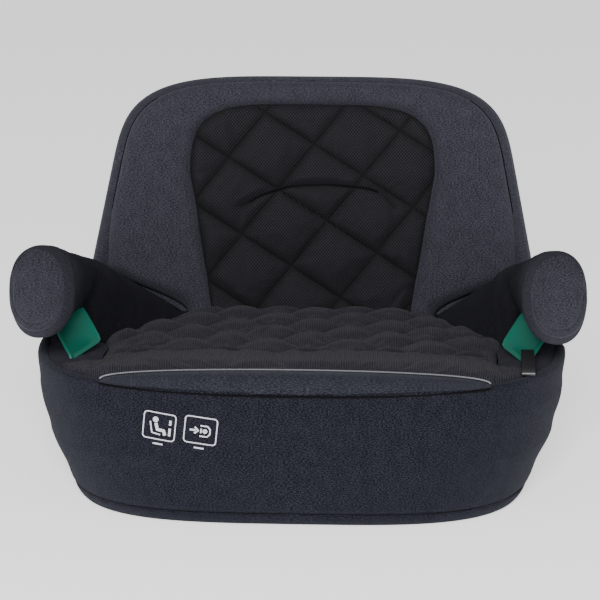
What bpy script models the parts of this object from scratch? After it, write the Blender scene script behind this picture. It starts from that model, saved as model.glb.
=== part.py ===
"""Child's booster seat with a low back, two armrests and a sliding rigid anchor carriage.

Metres, +Z up, -Y is the front, origin on the floor under the middle of the seat.
"""

import math

import bmesh
import bpy
from mathutils import Matrix, Vector

# Driving dimensions
GAP = 0.0004  # left between pieces that touch
RIM_HEIGHT = 0.108  # top seam of the base cover
BASE_MID = -0.040  # where the base is widest
COVER_THICK = 0.0030  # fabric laminate round the base
SHELL_THICK = 0.0032  # moulded polypropylene wall
SHELL_INSET = 0.0045  # moulding lies this far inside the cover
SEAT_FRONT = -0.1745
SEAT_REAR = 0.104
SEAT_FRONT_HEIGHT = 0.119
SEAT_SLOPE = 0.095  # fall of the seat towards the back
PAD_THICK = 0.011
DECK_DROP = 0.030  # moulded deck below the sitting surface
BACK_FOOT = Vector((0.0, 0.112, 0.088))  # where the backrest meets the seat
BACK_LEAN = math.radians(13.0)
BACK_HEIGHT = 0.202
BACK_CURVE = 0.40  # the wings come forward by this times x squared
BACK_DEPTH = 0.0428
PANEL_DEPTH = 0.012
WING_PAD_DEPTH = 0.020
ANCHOR_SPACING = 0.280  # car anchor bars, centre to centre
ANCHOR_HEIGHT = 0.0245
CARRIAGE_TRAVEL = 0.090
NOTCH_PITCH = 0.015
BOLT_Y = -0.055
LEVER_PIVOT = Vector((0.0, -0.040, 0.034))
HOOK_PIVOT = Vector((0.0, 0.146, 0.0345))

# Base cover: height, half width, front, back, and how square its front corners are
BASE_LEVELS = (
    (0.0006, 0.1765, -0.187, 0.170, 3.5),
    (0.0090, 0.1815, -0.190, 0.172, 3.5),
    (0.0500, 0.1995, -0.196, 0.175, 3.2),
    (0.0850, 0.2080, -0.1985, 0.176, 3.0),
    (RIM_HEIGHT, 0.2095, -0.1985, 0.176, 2.9),
)
REAR_SQUARENESS = 9.0

# Armrest: y, inner x, outer x, inner and outer underside, inner and outer top
ARM_STATIONS = (
    (0.104, 0.118, 0.2030, 0.0880, 0.1035, 0.104, 0.142),
    (0.065, 0.129, 0.2070, 0.0885, 0.1035, 0.120, 0.153),
    (0.020, 0.141, 0.2095, 0.0930, 0.1035, 0.150, 0.168),
    (-0.025, 0.153, 0.2110, 0.1045, 0.1035, 0.168, 0.176),
    (-0.043, 0.157, 0.2120, 0.1090, 0.1080, 0.172, 0.179),
    (-0.051, 0.159, 0.2130, 0.1300, 0.1300, 0.175, 0.181),
    (-0.088, 0.165, 0.2170, 0.1285, 0.1285, 0.187, 0.192),
    (-0.124, 0.171, 0.2203, 0.1295, 0.1295, 0.199, 0.202),
)
CAP_STATIONS = (
    (-0.1256, 0.171, 0.2203, 0.1297, 0.1297, 0.1990, 0.2020),
    (-0.144, 0.175, 0.2195, 0.1370, 0.1370, 0.196, 0.199),
    (-0.156, 0.186, 0.2110, 0.1500, 0.1500, 0.186, 0.188),
)
NOTCH_SLANT = 0.034  # the inner side of the notch lies this much further forward
GUIDE_PROFILE = (0.1258, 0.1192, 0.1143, 0.1105, 0.1082)  # heights from the notch down to the rim
GUIDE_TOP = ((0.1790, -0.0685), (0.2010, -0.0590))  # inner and outer corner
GUIDE_FOOT = ((0.1590, -0.0935), (0.1830, -0.1175))

SCREW_PLACES = ((-0.120, -0.150), (0.120, -0.150), (-0.166, 0.0), (0.166, 0.0), (-0.070, 0.160), (0.070, 0.160))
FOOT_PLACES = ((-0.125, -0.115), (0.125, -0.115), (-0.100, 0.120), (0.100, 0.120))

for old in list(bpy.data.objects):
    bpy.data.objects.remove(old)
seat_parts = bpy.data.collections.new("booster_seat")
cutter_parts = bpy.data.collections.new("cutters")
bpy.context.scene.collection.children.link(seat_parts)
bpy.context.scene.collection.children.link(cutter_parts)


def material(name, colour, roughness, metallic=0.0):
    made = bpy.data.materials.new(name)
    made.use_nodes = True
    shader = made.node_tree.nodes["Principled BSDF"]
    shader.inputs["Base Color"].default_value = (*colour, 1.0)
    shader.inputs["Roughness"].default_value = roughness
    shader.inputs["Metallic"].default_value = metallic
    return made


FABRIC = material("heather_fabric", (0.035, 0.038, 0.048), 0.9)
MESH_FABRIC = material("mesh_fabric", (0.018, 0.018, 0.022), 0.85)
KNIT = material("rib_knit", (0.030, 0.029, 0.032), 0.9)
PLASTIC = material("black_plastic", (0.02, 0.02, 0.022), 0.5)
GREEN = material("green_plastic", (0.0, 0.21, 0.14), 0.35)
FOAM = material("grey_foam", (0.25, 0.25, 0.26), 0.9)
STEEL = material("zinc_steel", (0.55, 0.56, 0.58), 0.35, 1.0)
RUBBER = material("foot_rubber", (0.03, 0.03, 0.03), 0.8)
PIPING = material("piping", (0.45, 0.45, 0.47), 0.7)
RED = material("red_plastic", (0.45, 0.02, 0.02), 0.4)


def place(obj, name, look, collection=seat_parts):
    """Name an object, give it its material and put it in its collection."""
    obj.name = name
    for old in list(obj.users_collection):
        old.objects.unlink(obj)
    collection.objects.link(obj)
    if look:
        obj.data.materials.append(look)
    return obj


def from_bmesh(bm, name, look, collection=seat_parts):
    mesh = bpy.data.meshes.new(name)
    bm.to_mesh(mesh)
    bm.free()
    obj = bpy.data.objects.new(name, mesh)
    return place(obj, name, look, collection)


def loft(name, rings, look, closed_rings=True, caps=True, collection=seat_parts):
    """Skin a row of rings that have the same number of points."""
    bm = bmesh.new()
    rows = [[bm.verts.new(point) for point in ring] for ring in rings]
    count = len(rows[0])
    spans = count if closed_rings else count - 1
    for near, far in zip(rows, rows[1:]):
        for i in range(spans):
            j = (i + 1) % count
            bm.faces.new((near[i], near[j], far[j], far[i]))
    if closed_rings and caps:
        bm.faces.new(rows[0])
        bm.faces.new(rows[-1])
    bmesh.ops.recalc_face_normals(bm, faces=bm.faces)
    return from_bmesh(bm, name, look, collection)


def box(name, low, high, look, collection=seat_parts):
    """A cube primitive sized and placed by its two corners."""
    bm = bmesh.new()
    bmesh.ops.create_cube(bm, size=1.0)
    size = Vector(high) - Vector(low)
    middle = (Vector(high) + Vector(low)) / 2
    bmesh.ops.transform(bm, matrix=Matrix.Translation(middle) @ Matrix.Diagonal((*size, 1.0)), verts=bm.verts)
    return from_bmesh(bm, name, look, collection)


def cylinder(name, foot, axis, radius, length, look, sides=12, end_radius=None, collection=seat_parts):
    """A cylinder or cone frustum that starts at foot and runs along axis."""
    bm = bmesh.new()
    far_radius = radius if end_radius is None else end_radius
    bmesh.ops.create_cone(
        bm, cap_ends=True, segments=sides, radius1=radius, radius2=far_radius, depth=length
    )
    turn = Vector(axis).to_track_quat("Z", "Y").to_matrix().to_4x4()
    where = Matrix.Translation(Vector(foot) + Vector(axis).normalized() * length / 2)
    bmesh.ops.transform(bm, matrix=where @ turn, verts=bm.verts)
    return from_bmesh(bm, name, look, collection)


def hide_cutter(obj):
    obj.hide_render = True
    obj.display_type = "WIRE"
    return obj


def cut(obj, *cutters):
    """Subtract each cutter from the object."""
    for cutter in cutters:
        hide_cutter(cutter)
        step = obj.modifiers.new("cut", "BOOLEAN")
        step.operation = "DIFFERENCE"
        step.object = cutter
    return obj


def join(obj, *others):
    """Unite the object with others, which become helpers."""
    for other in others:
        hide_cutter(other)
        step = obj.modifiers.new("join", "BOOLEAN")
        step.operation = "UNION"
        step.object = other
    return obj


def solidify(obj, thickness):
    """Give an open surface its wall on the inner side."""
    step = obj.modifiers.new("wall", "SOLIDIFY")
    step.thickness = thickness
    step.offset = -1.0
    step.use_even_offset = True
    return obj


def bevel(obj, width, segments=1):
    step = obj.modifiers.new("round", "BEVEL")
    step.width = width
    step.segments = segments
    step.limit_method = "ANGLE"
    step.angle_limit = math.radians(50)
    return obj


def between(table, value, column):
    """Read a column of a table whose first column is sorted, by straight lines."""
    rows = sorted(table)
    if value <= rows[0][0]:
        return rows[0][column]
    for low, high in zip(rows, rows[1:]):
        if value <= high[0]:
            share = (value - low[0]) / (high[0] - low[0])
            return low[column] + share * (high[column] - low[column])
    return rows[-1][column]


def power(value, exponent):
    return math.copysign(abs(value) ** exponent, value)


# ---------------------------------------------------------------- base outline


def base_point(angle, height, inset=0.0):
    """A point of the base cover's outer face, moved in by inset."""
    half = between(BASE_LEVELS, height, 1) - inset
    front = BASE_MID - between(BASE_LEVELS, height, 2) - inset
    back = between(BASE_LEVELS, height, 3) - BASE_MID - inset
    squareness = between(BASE_LEVELS, height, 4)
    if math.sin(angle) > 0:
        squareness = squareness + (REAR_SQUARENESS - squareness) * math.sin(angle) ** 0.25
    depth = front if math.sin(angle) < 0 else back
    x = half * power(math.cos(angle), 2 / squareness)
    y = BASE_MID + depth * power(math.sin(angle), 2 / squareness)
    return Vector((x, y, height))


def base_ring(height, inset, count):
    return [base_point(math.tau * (i + 0.5) / count, height, inset) for i in range(count)]


def base_strip(heights, start, end, count):
    """Rows of a strip of the base cover between two angles in degrees."""
    rows = []
    for height in heights:
        angles = [math.radians(start + (end - start) * i / count) for i in range(count + 1)]
        rows.append([base_point(angle, height) for angle in angles])
    return rows


def base_half_width(y, height, inset):
    """Half width of the front half of the cover's outline at y, moved in by inset."""
    half = between(BASE_LEVELS, height, 1) - inset
    depth = BASE_MID - between(BASE_LEVELS, height, 2) - inset
    squareness = between(BASE_LEVELS, height, 4)
    ahead = max(0.0, (BASE_MID - y) / depth)
    return half * max(0.0, 1 - ahead**squareness) ** (1 / squareness)


def seat_height(y):
    return SEAT_FRONT_HEIGHT - (y - SEAT_FRONT) * SEAT_SLOPE


def deck_height(y):
    return seat_height(y) - DECK_DROP


# ---------------------------------------------------------------- moulded base


def make_base_shell():
    """Upturned polypropylene tray: flange, wall, rim and a sloping deck."""
    count = 36
    rings = [
        base_ring(0.0058, SHELL_INSET + 0.015, count),
        base_ring(0.0058, SHELL_INSET, count),
        base_ring(0.0500, SHELL_INSET, count),
        base_ring(0.0850, SHELL_INSET, count),
        base_ring(0.1010, SHELL_INSET, count),
        base_ring(0.1010, SHELL_INSET + 0.013, count),
    ]
    deck = [Vector((p.x, p.y, deck_height(p.y))) for p in base_ring(0.1010, SHELL_INSET + 0.0145, count)]
    rings.append(deck)
    shell = loft("base_shell", rings, PLASTIC, caps=False)
    bm = bmesh.new()
    bm.from_mesh(shell.data)
    bm.verts.ensure_lookup_table()
    bm.faces.new(bm.verts[len(bm.verts) - count:])
    bmesh.ops.recalc_face_normals(bm, faces=bm.faces)
    bm.normal_update()
    deck_face = max(bm.faces, key=lambda face: face.calc_area())
    if deck_face.normal.z < 0:
        bmesh.ops.reverse_faces(bm, faces=bm.faces)
    bm.to_mesh(shell.data)
    bm.free()
    solidify(shell, SHELL_THICK)
    for side in (-1, 1):
        middle = side * ANCHOR_SPACING / 2
        slot = box(
            f"anchor_slot_{side}",
            (middle - 0.0165, 0.118, 0.0075),
            (middle + 0.0165, 0.200, 0.0525),
            None,
            cutter_parts,
        )
        cut(shell, slot)
        arm_hole = cylinder(f"arm_hole_{side}", (side * 0.1974, -0.005, 0.095), (0, 0, 1), 0.0022, 0.012, None, 8,
                            collection=cutter_parts)
        cut(shell, arm_hole)
    for i, (x, y) in enumerate(SCREW_PLACES):
        cut(shell, cylinder(f"flange_hole_{i}", (x, y, 0.0), (0, 0, 1), 0.0020, 0.014, None, 8,
                            collection=cutter_parts))
    return shell


def make_base_tray():
    """Flat cover under the base, with guide walls for the two anchor arms."""
    count = 36
    rings = [base_ring(0.0023, SHELL_INSET + 0.0012, count), base_ring(0.0054, SHELL_INSET + 0.0012, count)]
    tray = loft("base_tray", rings, PLASTIC)
    for side in (-1, 1):
        for x, half, top in ((0.1550, 0.0012, 0.0200), (0.1000, 0.0030, 0.0126)):
            rail = box(f"rail_{side}_{x}", (side * x - half, -0.045, 0.0045), (side * x + half, 0.105, top),
                       None, cutter_parts)
            join(tray, rail)
    cut(tray, box("finger_cut", (-0.045, -0.172, -0.001), (0.045, -0.142, 0.008), None, cutter_parts))
    for i, (x, y) in enumerate(SCREW_PLACES):
        cut(tray, cylinder(f"tray_hole_{i}", (x, y, 0.0), (0, 0, 1), 0.0020, 0.012, None, 8,
                           collection=cutter_parts))
    return tray


def screw(name, foot, length, radius=0.0016, head_radius=0.0034, head=0.0011, look=STEEL):
    """A pan-head screw pointing up from its head at foot."""
    body = cylinder(name, foot, (0, 0, 1), head_radius * 0.8, head, look, 10, end_radius=head_radius)
    shank = cylinder(name + "_shank", Vector(foot) + Vector((0, 0, head * 0.5)), (0, 0, 1), radius, length, None, 8,
                     collection=cutter_parts)
    return join(body, shank)


def make_fasteners_and_feet():
    for i, (x, y) in enumerate(SCREW_PLACES):
        screw(f"tray_screw_{i + 1}", (x, y, 0.0008), 0.0110)
    names = ("front_left", "front_right", "rear_left", "rear_right")
    for name, (x, y) in zip(names, FOOT_PLACES):
        cylinder(f"foot_{name}", (x, y, 0.0), (0, 0, 1), 0.0120, 0.0019, RUBBER, 16, end_radius=0.0125)


# ---------------------------------------------------------------- armrests


def arm_ring(station, side, count=16, inset=0.0, tip_lean=0.0):
    """A soft-cornered section of the armrest across the seat."""
    y, x_in, x_out, low_in, low_out, top_in, top_out = station
    squareness = 2.6 if y < -0.045 else 3.4
    ring = []
    for i in range(count):
        angle = math.tau * (i + 0.5) / count
        across = 0.5 + 0.5 * power(math.cos(angle), 2 / squareness)
        upward = 0.5 + 0.5 * power(math.sin(angle), 2 / squareness)
        x = x_in + inset + across * (x_out - x_in - 2 * inset)
        low = low_in + across * (low_out - low_in) + inset
        top = top_in + across * (top_out - top_in) - inset
        z = low + upward * (top - low)
        middle = (low + top) / 2
        slant = NOTCH_SLANT * (1 - across) ** 2 if -0.055 < y < -0.035 else 0.0
        ring.append(Vector((side * x, y - slant + tip_lean * (z - middle), z)))
    return ring


def make_armrest(side, tag):
    """Moulded core, padded sleeve, end cap and the green belt guide of one side."""
    cap_lean = 0.28
    rings = [arm_ring(station, side) for station in ARM_STATIONS[:-1]]
    rings.append(arm_ring(ARM_STATIONS[-1], side, tip_lean=cap_lean))
    sleeve = loft(f"armrest_sleeve_{tag}", rings, FABRIC, caps=False)
    solidify(sleeve, 0.0040)
    core_rings = []
    for y, *sizes in ARM_STATIONS[:-1]:
        if -0.055 < y < -0.035:
            y += 0.0092
            sizes[4:] = [top - 0.0040 for top in sizes[4:]]
        core_rings.append(arm_ring((y, *sizes), side, inset=0.0066))
    core_rings.append(arm_ring(ARM_STATIONS[-1], side, inset=0.0066, tip_lean=cap_lean))
    core = loft(f"armrest_core_{tag}", core_rings, PLASTIC)
    cap_rings = [arm_ring(station, side, tip_lean=cap_lean) for station in CAP_STATIONS]
    loft(f"armrest_cap_{tag}", cap_rings, FABRIC)
    hole = cylinder(f"core_hole_{tag}", (side * 0.1974, -0.005, 0.095), (0, 0, 1), 0.0022, 0.034, None, 8,
                    collection=cutter_parts)
    cut(sleeve, hole)
    cut(core, hole)
    screw(f"armrest_screw_{tag}", (side * 0.1974, -0.005, 0.0960), 0.0300, radius=0.0018, head_radius=0.0030)

    # Green throat: a curved ramp from the root of the notch down to the rim
    rows = []
    for across, lip in ((0.0, 0.0018), (0.12, 0.0), (0.88, 0.0), (1.0, 0.0018)):
        row = []
        for i, z in enumerate(GUIDE_PROFILE):
            down = i / (len(GUIDE_PROFILE) - 1)
            top = Vector(GUIDE_TOP[0]).lerp(Vector(GUIDE_TOP[1]), across)
            foot = Vector(GUIDE_FOOT[0]).lerp(Vector(GUIDE_FOOT[1]), across)
            x, y = top.lerp(foot, down)
            row.append(Vector((side * x, y, z + lip)))
        rows.append(row)
    guide = loft(f"belt_guide_{tag}", rows, GREEN, closed_rings=False)
    face = guide.data.polygons[0]
    if face.normal.z < 0:
        guide.data.flip_normals()
    solidify(guide, 0.0024)


# ---------------------------------------------------------------- seat


def seat_half_width(y):
    """Half width of the cushion: between the armrests, then out to the front corners."""
    if y > -0.046:
        return between(ARM_STATIONS, y, 1) - 0.0018
    if y > -0.126:
        return 0.1545
    return base_half_width(y, RIM_HEIGHT, 0.0075)


def seat_rings(stations, lower, upper, width, across=10):
    """Sections across the cushion with a crowned top."""
    rings = []
    for y in stations:
        half = width(y)
        xs = [half * (2 * i / across - 1) for i in range(across + 1)]
        top = [Vector((x, y, seat_height(y) - upper - 0.004 * (x / half) ** 4)) for x in xs]
        low = [Vector((x, y, seat_height(y) - lower)) for x in xs]
        rings.append(top + low[::-1])
    return rings


def foam_half_width(y):
    """The foam block fills the recess of the moulding and stays clear of the armrests."""
    recess = base_half_width(y, 0.1010, SHELL_INSET + 0.0165)
    return min(recess, seat_half_width(max(y, -0.1)) - 0.003)


def make_seat():
    stations = (SEAT_FRONT, -0.170, -0.160, -0.148, -0.137, -0.1290, -0.1250, -0.046, -0.025, 0.020, 0.065, SEAT_REAR)
    loft("seat_cover", seat_rings(stations, PAD_THICK, 0.0, seat_half_width), KNIT)
    foam_stations = (-0.172, -0.166, -0.156, -0.140, -0.1145, -0.046, 0.020, 0.065, SEAT_REAR)
    loft("seat_foam", seat_rings(foam_stations, DECK_DROP - 0.0008, PAD_THICK + 0.0045, foam_half_width, 8), FOAM)


def lip_section(x, grow):
    """Section of the padded front roll; it dies away to a point at each end."""
    share = math.sqrt(max(0.0, 1 - (x / 0.1475) ** 2)) ** 0.8
    front = base_point(math.acos(0.0) * 3, RIM_HEIGHT).y
    rim_y = front + 0.0215 * (abs(x) / 0.1475) ** 2.6
    seam = Vector((x, rim_y + 0.0008, 0.1088 - 0.0025 * share))
    piping = Vector((x, -0.1778 + 0.0014 * (x / 0.1475) ** 2, 0.1088 + 0.0105 * share))
    middle = (seam + piping) / 2
    out = Vector((0, -0.50, 0.86)) * 0.0078 * share * grow
    low = Vector((0, 0.30, -0.95)) * 0.0045 * share
    return [seam, seam.lerp(middle, 0.35) + out * 0.75, middle + out, piping.lerp(middle, 0.35) + out * 0.75,
            piping, middle + low]


def make_front():
    xs = [0.1475 * math.sin(math.radians(a)) for a in range(-84, 85, 12)]
    loft("front_lip", [lip_section(x, 1.0) for x in xs], FABRIC)
    curve = bpy.data.curves.new("lip_piping", "CURVE")
    curve.dimensions = "3D"
    curve.bevel_depth = 0.0009
    curve.bevel_resolution = 2
    curve.use_fill_caps = True
    spline = curve.splines.new("POLY")
    route = [lip_section(x, 1.0)[4] + Vector((0, -0.0002, 0.0022)) for x in xs]
    spline.points.add(len(route) - 1)
    for point, where in zip(spline.points, route):
        point.co = (*where, 1.0)
    place(bpy.data.objects.new("lip_piping", curve), "lip_piping", PIPING)

    apron = loft("front_apron", base_strip((0.0108, 0.030, 0.050, 0.085, 0.1045), 182.5, 357.5, 28), FABRIC,
                 closed_rings=False)
    hem = loft("hem_band", base_strip((0.0006, 0.0088), 182.5, 357.5, 28), FABRIC, closed_rings=False)
    left = loft("side_panel_left", base_strip((0.036, 0.050, 0.085, 0.1010), 150, 181.5, 6), FABRIC,
                closed_rings=False)
    right = loft("side_panel_right", base_strip((0.036, 0.050, 0.085, 0.1010), -1.5, 30, 6), FABRIC,
                 closed_rings=False)
    for strip in (apron, hem, left, right):
        middle = strip.data.polygons[len(strip.data.polygons) // 2]
        outward = middle.center - Vector((0, BASE_MID, middle.center.z))
        if middle.normal.dot(outward) < 0:
            strip.data.flip_normals()
        solidify(strip, COVER_THICK)
    for side, tag in ((-1, "left"), (1, "right")):
        hook = box(f"cover_hook_{tag}", (side * 0.1895 - 0.0012, -0.036, 0.016), (side * 0.1895 + 0.0012, -0.026, 0.030),
                   PLASTIC)
        hook.data.transform(Matrix.Rotation(0, 4, "Y"))


# ---------------------------------------------------------------- backrest


def back_side(w):
    """Half width of the straight part of the back at height w up its face."""
    return 0.198 - 0.188 * w


def back_half_width(w, top=BACK_HEIGHT, inset=0.0, corner=0.120):
    share = min(1.0, max(0.0, (w - corner) / (top - corner)))
    return (back_side(w) - inset) * (1 - share**4) ** 0.25


def wing_half_width(w):
    """Half width of the padded front: narrow at the seat, wings above the armrests."""
    rise = min(1.0, max(0.0, (w - 0.003) / 0.043))
    wing = 0.108 + (0.176 - 0.108) * rise * rise * (3 - 2 * rise)
    return min(wing, back_half_width(w, top=BACK_HEIGHT - 0.0065, inset=0.010))


def panel_half_width(w):
    """Half width of the quilted mesh panel."""
    straight = 0.089 + 0.020 * min(1.0, w / 0.12)
    share = min(1.0, max(0.0, (w - 0.105) / (0.180 - 0.105)))
    return straight * (1 - share**4) ** 0.25


def back_section(w, half, near, far, across):
    """A curved slat at height w, from depth near to depth far behind the face."""
    xs = [half * (2 * i / across - 1) for i in range(across + 1)]
    front = [Vector((x, near - BACK_CURVE * x * x, w)) for x in xs]
    rear = [Vector((x, far - BACK_CURVE * x * x, w)) for x in xs]
    return front + rear[::-1]


def lean(obj):
    """Stand a piece, modelled upright at the origin, on the seat at the back's angle."""
    obj.location = BACK_FOOT
    obj.rotation_euler = (-BACK_LEAN, 0.0, 0.0)
    return obj


def slab(name, levels, half_width, near, far, look, across=10, collection=seat_parts):
    rings = [back_section(w, half_width(w), near, far, across) for w in levels]
    return lean(loft(name, rings, look, collection=collection))


def make_back():
    wing_levels = (0.0, 0.005, 0.015, 0.022, 0.029, 0.037, 0.047, 0.120, 0.150, 0.170, 0.182, 0.190, 0.1940)
    cover = slab("back_cover", wing_levels, wing_half_width, 0.0, WING_PAD_DEPTH, FABRIC)
    panel_levels = (-0.003, 0.060, 0.105, 0.135, 0.155, 0.168, 0.176, 0.1792)
    pocket_rings = []
    for w in (-0.020, *panel_levels[1:]):
        section = back_section(w, panel_half_width(w) + 0.0008, -0.030, PANEL_DEPTH, 8)
        lift = 0.0012 if w > 0.13 else 0.0
        pocket_rings.append([point + Vector((0, 0, lift)) for point in section])
    pocket = lean(loft("panel_pocket", pocket_rings, None, collection=cutter_parts))
    cut(cover, pocket)
    slab("back_panel", panel_levels, panel_half_width, 0.0010, PANEL_DEPTH - GAP, MESH_FABRIC, 8)

    slab("back_foam", (0.010, 0.080, 0.140, 0.168, 0.180), lambda w: back_half_width(w, 0.189, 0.024),
         WING_PAD_DEPTH + GAP, 0.0258, FOAM, 8)

    def shell_half_width(w):
        foot = 0.150 + 0.030 * min(1.0, max(0.0, (w - 0.012) / 0.020))
        return min(foot, back_half_width(w, 0.1945, 0.0072))

    shell_levels = (-0.020, 0.012, 0.032, 0.120, 0.150, 0.170, 0.182, 0.189, 0.192)
    shell = slab("back_shell", shell_levels, shell_half_width, 0.0262, 0.0405, PLASTIC)
    hollow_levels = (-0.012, 0.014, 0.036, 0.120, 0.148, 0.166, 0.177, 0.183)
    for i, (low, high) in enumerate(((-1.0, -0.045), (-0.042, 0.042), (0.045, 1.0))):
        rings = []
        for w in hollow_levels:
            half = shell_half_width(w) - 0.0035
            left, right = max(-half, low), min(half, high)
            xs = [left + (right - left) * k / 6 for k in range(7)]
            front = [Vector((x, 0.0294 - BACK_CURVE * x * x, w)) for x in xs]
            rear = [Vector((x, 0.0600, w)) for x in xs]
            rings.append(front + rear[::-1])
        cut(shell, lean(loft(f"back_hollow_{i}", rings, None, collection=cutter_parts)))

    # Side band of the cover, wrapped round the edge of the moulding
    outline = []
    for w in (0.022, 0.070):
        outline.append((back_side(w), w))
    for i in range(19):
        angle = math.pi * i / 18
        w = 0.120 + (BACK_HEIGHT - 0.120) * abs(math.sin(angle)) ** 0.5
        outline.append((back_side(w) * power(math.cos(angle), 0.5), w))
    for w in (0.070, 0.022):
        outline.append((-back_side(w), w))
    rows = []
    for depth, tuck in ((0.0060, 0.0015), (0.0240, 0.0), (BACK_DEPTH, 0.0025)):
        row = []
        for x, w in outline:
            shrink = 1 - tuck / 0.19
            row.append(Vector((x * shrink, depth - BACK_CURVE * x * x, w - tuck * max(0.0, (w - 0.1) / 0.1))))
        rows.append(row)
    band = loft("back_gusset", rows, FABRIC, closed_rings=False)
    top_face = max(band.data.polygons, key=lambda face: face.center.z)
    if top_face.normal.z < 0:
        band.data.flip_normals()
    lean(solidify(band, 0.0030))


def make_pull_loop():
    """Folded webbing loop sewn into the seam beside the right belt guide."""
    rows = []
    for i in range(9):
        angle = math.pi * i / 8
        y = -0.1212 + 0.0026 * math.cos(angle)
        z = 0.1150 + 0.0055 * math.sin(angle) if 0 < i < 8 else 0.1050
        rows.append([Vector((0.1740, y, z)), Vector((0.1820, y, z))])
    ribbon = loft("pull_loop", rows, PLASTIC, closed_rings=False)
    top_face = max(ribbon.data.polygons, key=lambda face: face.center.z)
    if top_face.normal.z < 0:
        ribbon.data.flip_normals()
    solidify(ribbon, 0.0010)


# ---------------------------------------------------------------- anchor carriage


def make_carriage():
    box("carriage_bar", (-0.152, -0.030, 0.0130), (0.152, -0.010, 0.0161), STEEL)
    rack = box("lock_rack", (-0.008, -0.150, 0.0165), (0.008, -0.010, 0.0225), PLASTIC)
    for i in range(int(CARRIAGE_TRAVEL / NOTCH_PITCH) + 1):
        y = BOLT_Y - i * NOTCH_PITCH
        cut(rack, box(f"notch_{i}", (-0.010, y - 0.0031, 0.0193), (0.010, y + 0.0031, 0.030), None, cutter_parts))
    for side, tag in ((-1, "left"), (1, "right")):
        make_anchor_arm(side * ANCHOR_SPACING / 2, tag)


def make_anchor_arm(x, tag):
    """Steel tube, connector housing, hook, hook pin and release slider of one side."""
    tube = box(f"anchor_tube_{tag}", (x - 0.012, -0.050, 0.0165), (x + 0.012, 0.1296, 0.0325), STEEL)
    cut(tube, box(f"tube_bore_{tag}", (x - 0.0104, -0.060, 0.0181), (x + 0.0104, 0.140, 0.0309), None,
                  cutter_parts))
    housing = box(f"connector_{tag}", (x - 0.0130, 0.1180, 0.0085), (x + 0.0130, 0.1900, 0.0405), PLASTIC)
    bevel(housing, 0.0030)
    cut(
        housing,
        box(f"tube_pocket_{tag}", (x - 0.0124, 0.110, 0.0161), (x + 0.0124, 0.1300, 0.0329), None, cutter_parts),
        box(f"throat_{tag}", (x - 0.020, 0.1600, 0.0205), (x + 0.020, 0.2000, 0.0285), None, cutter_parts),
        box(f"hook_slot_{tag}", (x - 0.0031, 0.1370, 0.0170), (x + 0.0031, 0.2000, 0.0500), None, cutter_parts),
        cylinder(f"pin_hole_{tag}", (x - 0.020, HOOK_PIVOT.y, HOOK_PIVOT.z), (1, 0, 0), 0.0024, 0.040, None, 12,
                 collection=cutter_parts),
    )
    outline = (
        (0.1400, 0.0300), (0.1400, 0.0388), (0.1760, 0.0388), (0.1800, 0.0350), (0.1790, 0.0240),
        (0.1755, 0.0185), (0.1695, 0.0185), (0.1695, 0.0290), (0.1440, 0.0290),
    )
    rings = [[Vector((x + side * 0.0025, y, z)) for y, z in outline] for side in (-1, 1)]
    hook = loft(f"latch_hook_{tag}", rings, STEEL)
    cut(hook, cylinder(f"hook_bore_{tag}", (x - 0.010, HOOK_PIVOT.y, HOOK_PIVOT.z), (1, 0, 0), 0.0024, 0.020, None,
                       12, collection=cutter_parts))
    cylinder(f"hook_pin_{tag}", (x - 0.0125, HOOK_PIVOT.y, HOOK_PIVOT.z), (1, 0, 0), 0.0020, 0.0250, STEEL, 12)
    slider = box(f"release_slider_{tag}", (x - 0.009, 0.1225, 0.0409), (x + 0.009, 0.1365, 0.0438), RED)
    join(slider, box(f"slider_rib_{tag}", (x - 0.009, 0.1325, 0.0430), (x + 0.009, 0.1360, 0.0465), None,
                     cutter_parts))


# ---------------------------------------------------------------- carriage lock


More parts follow.
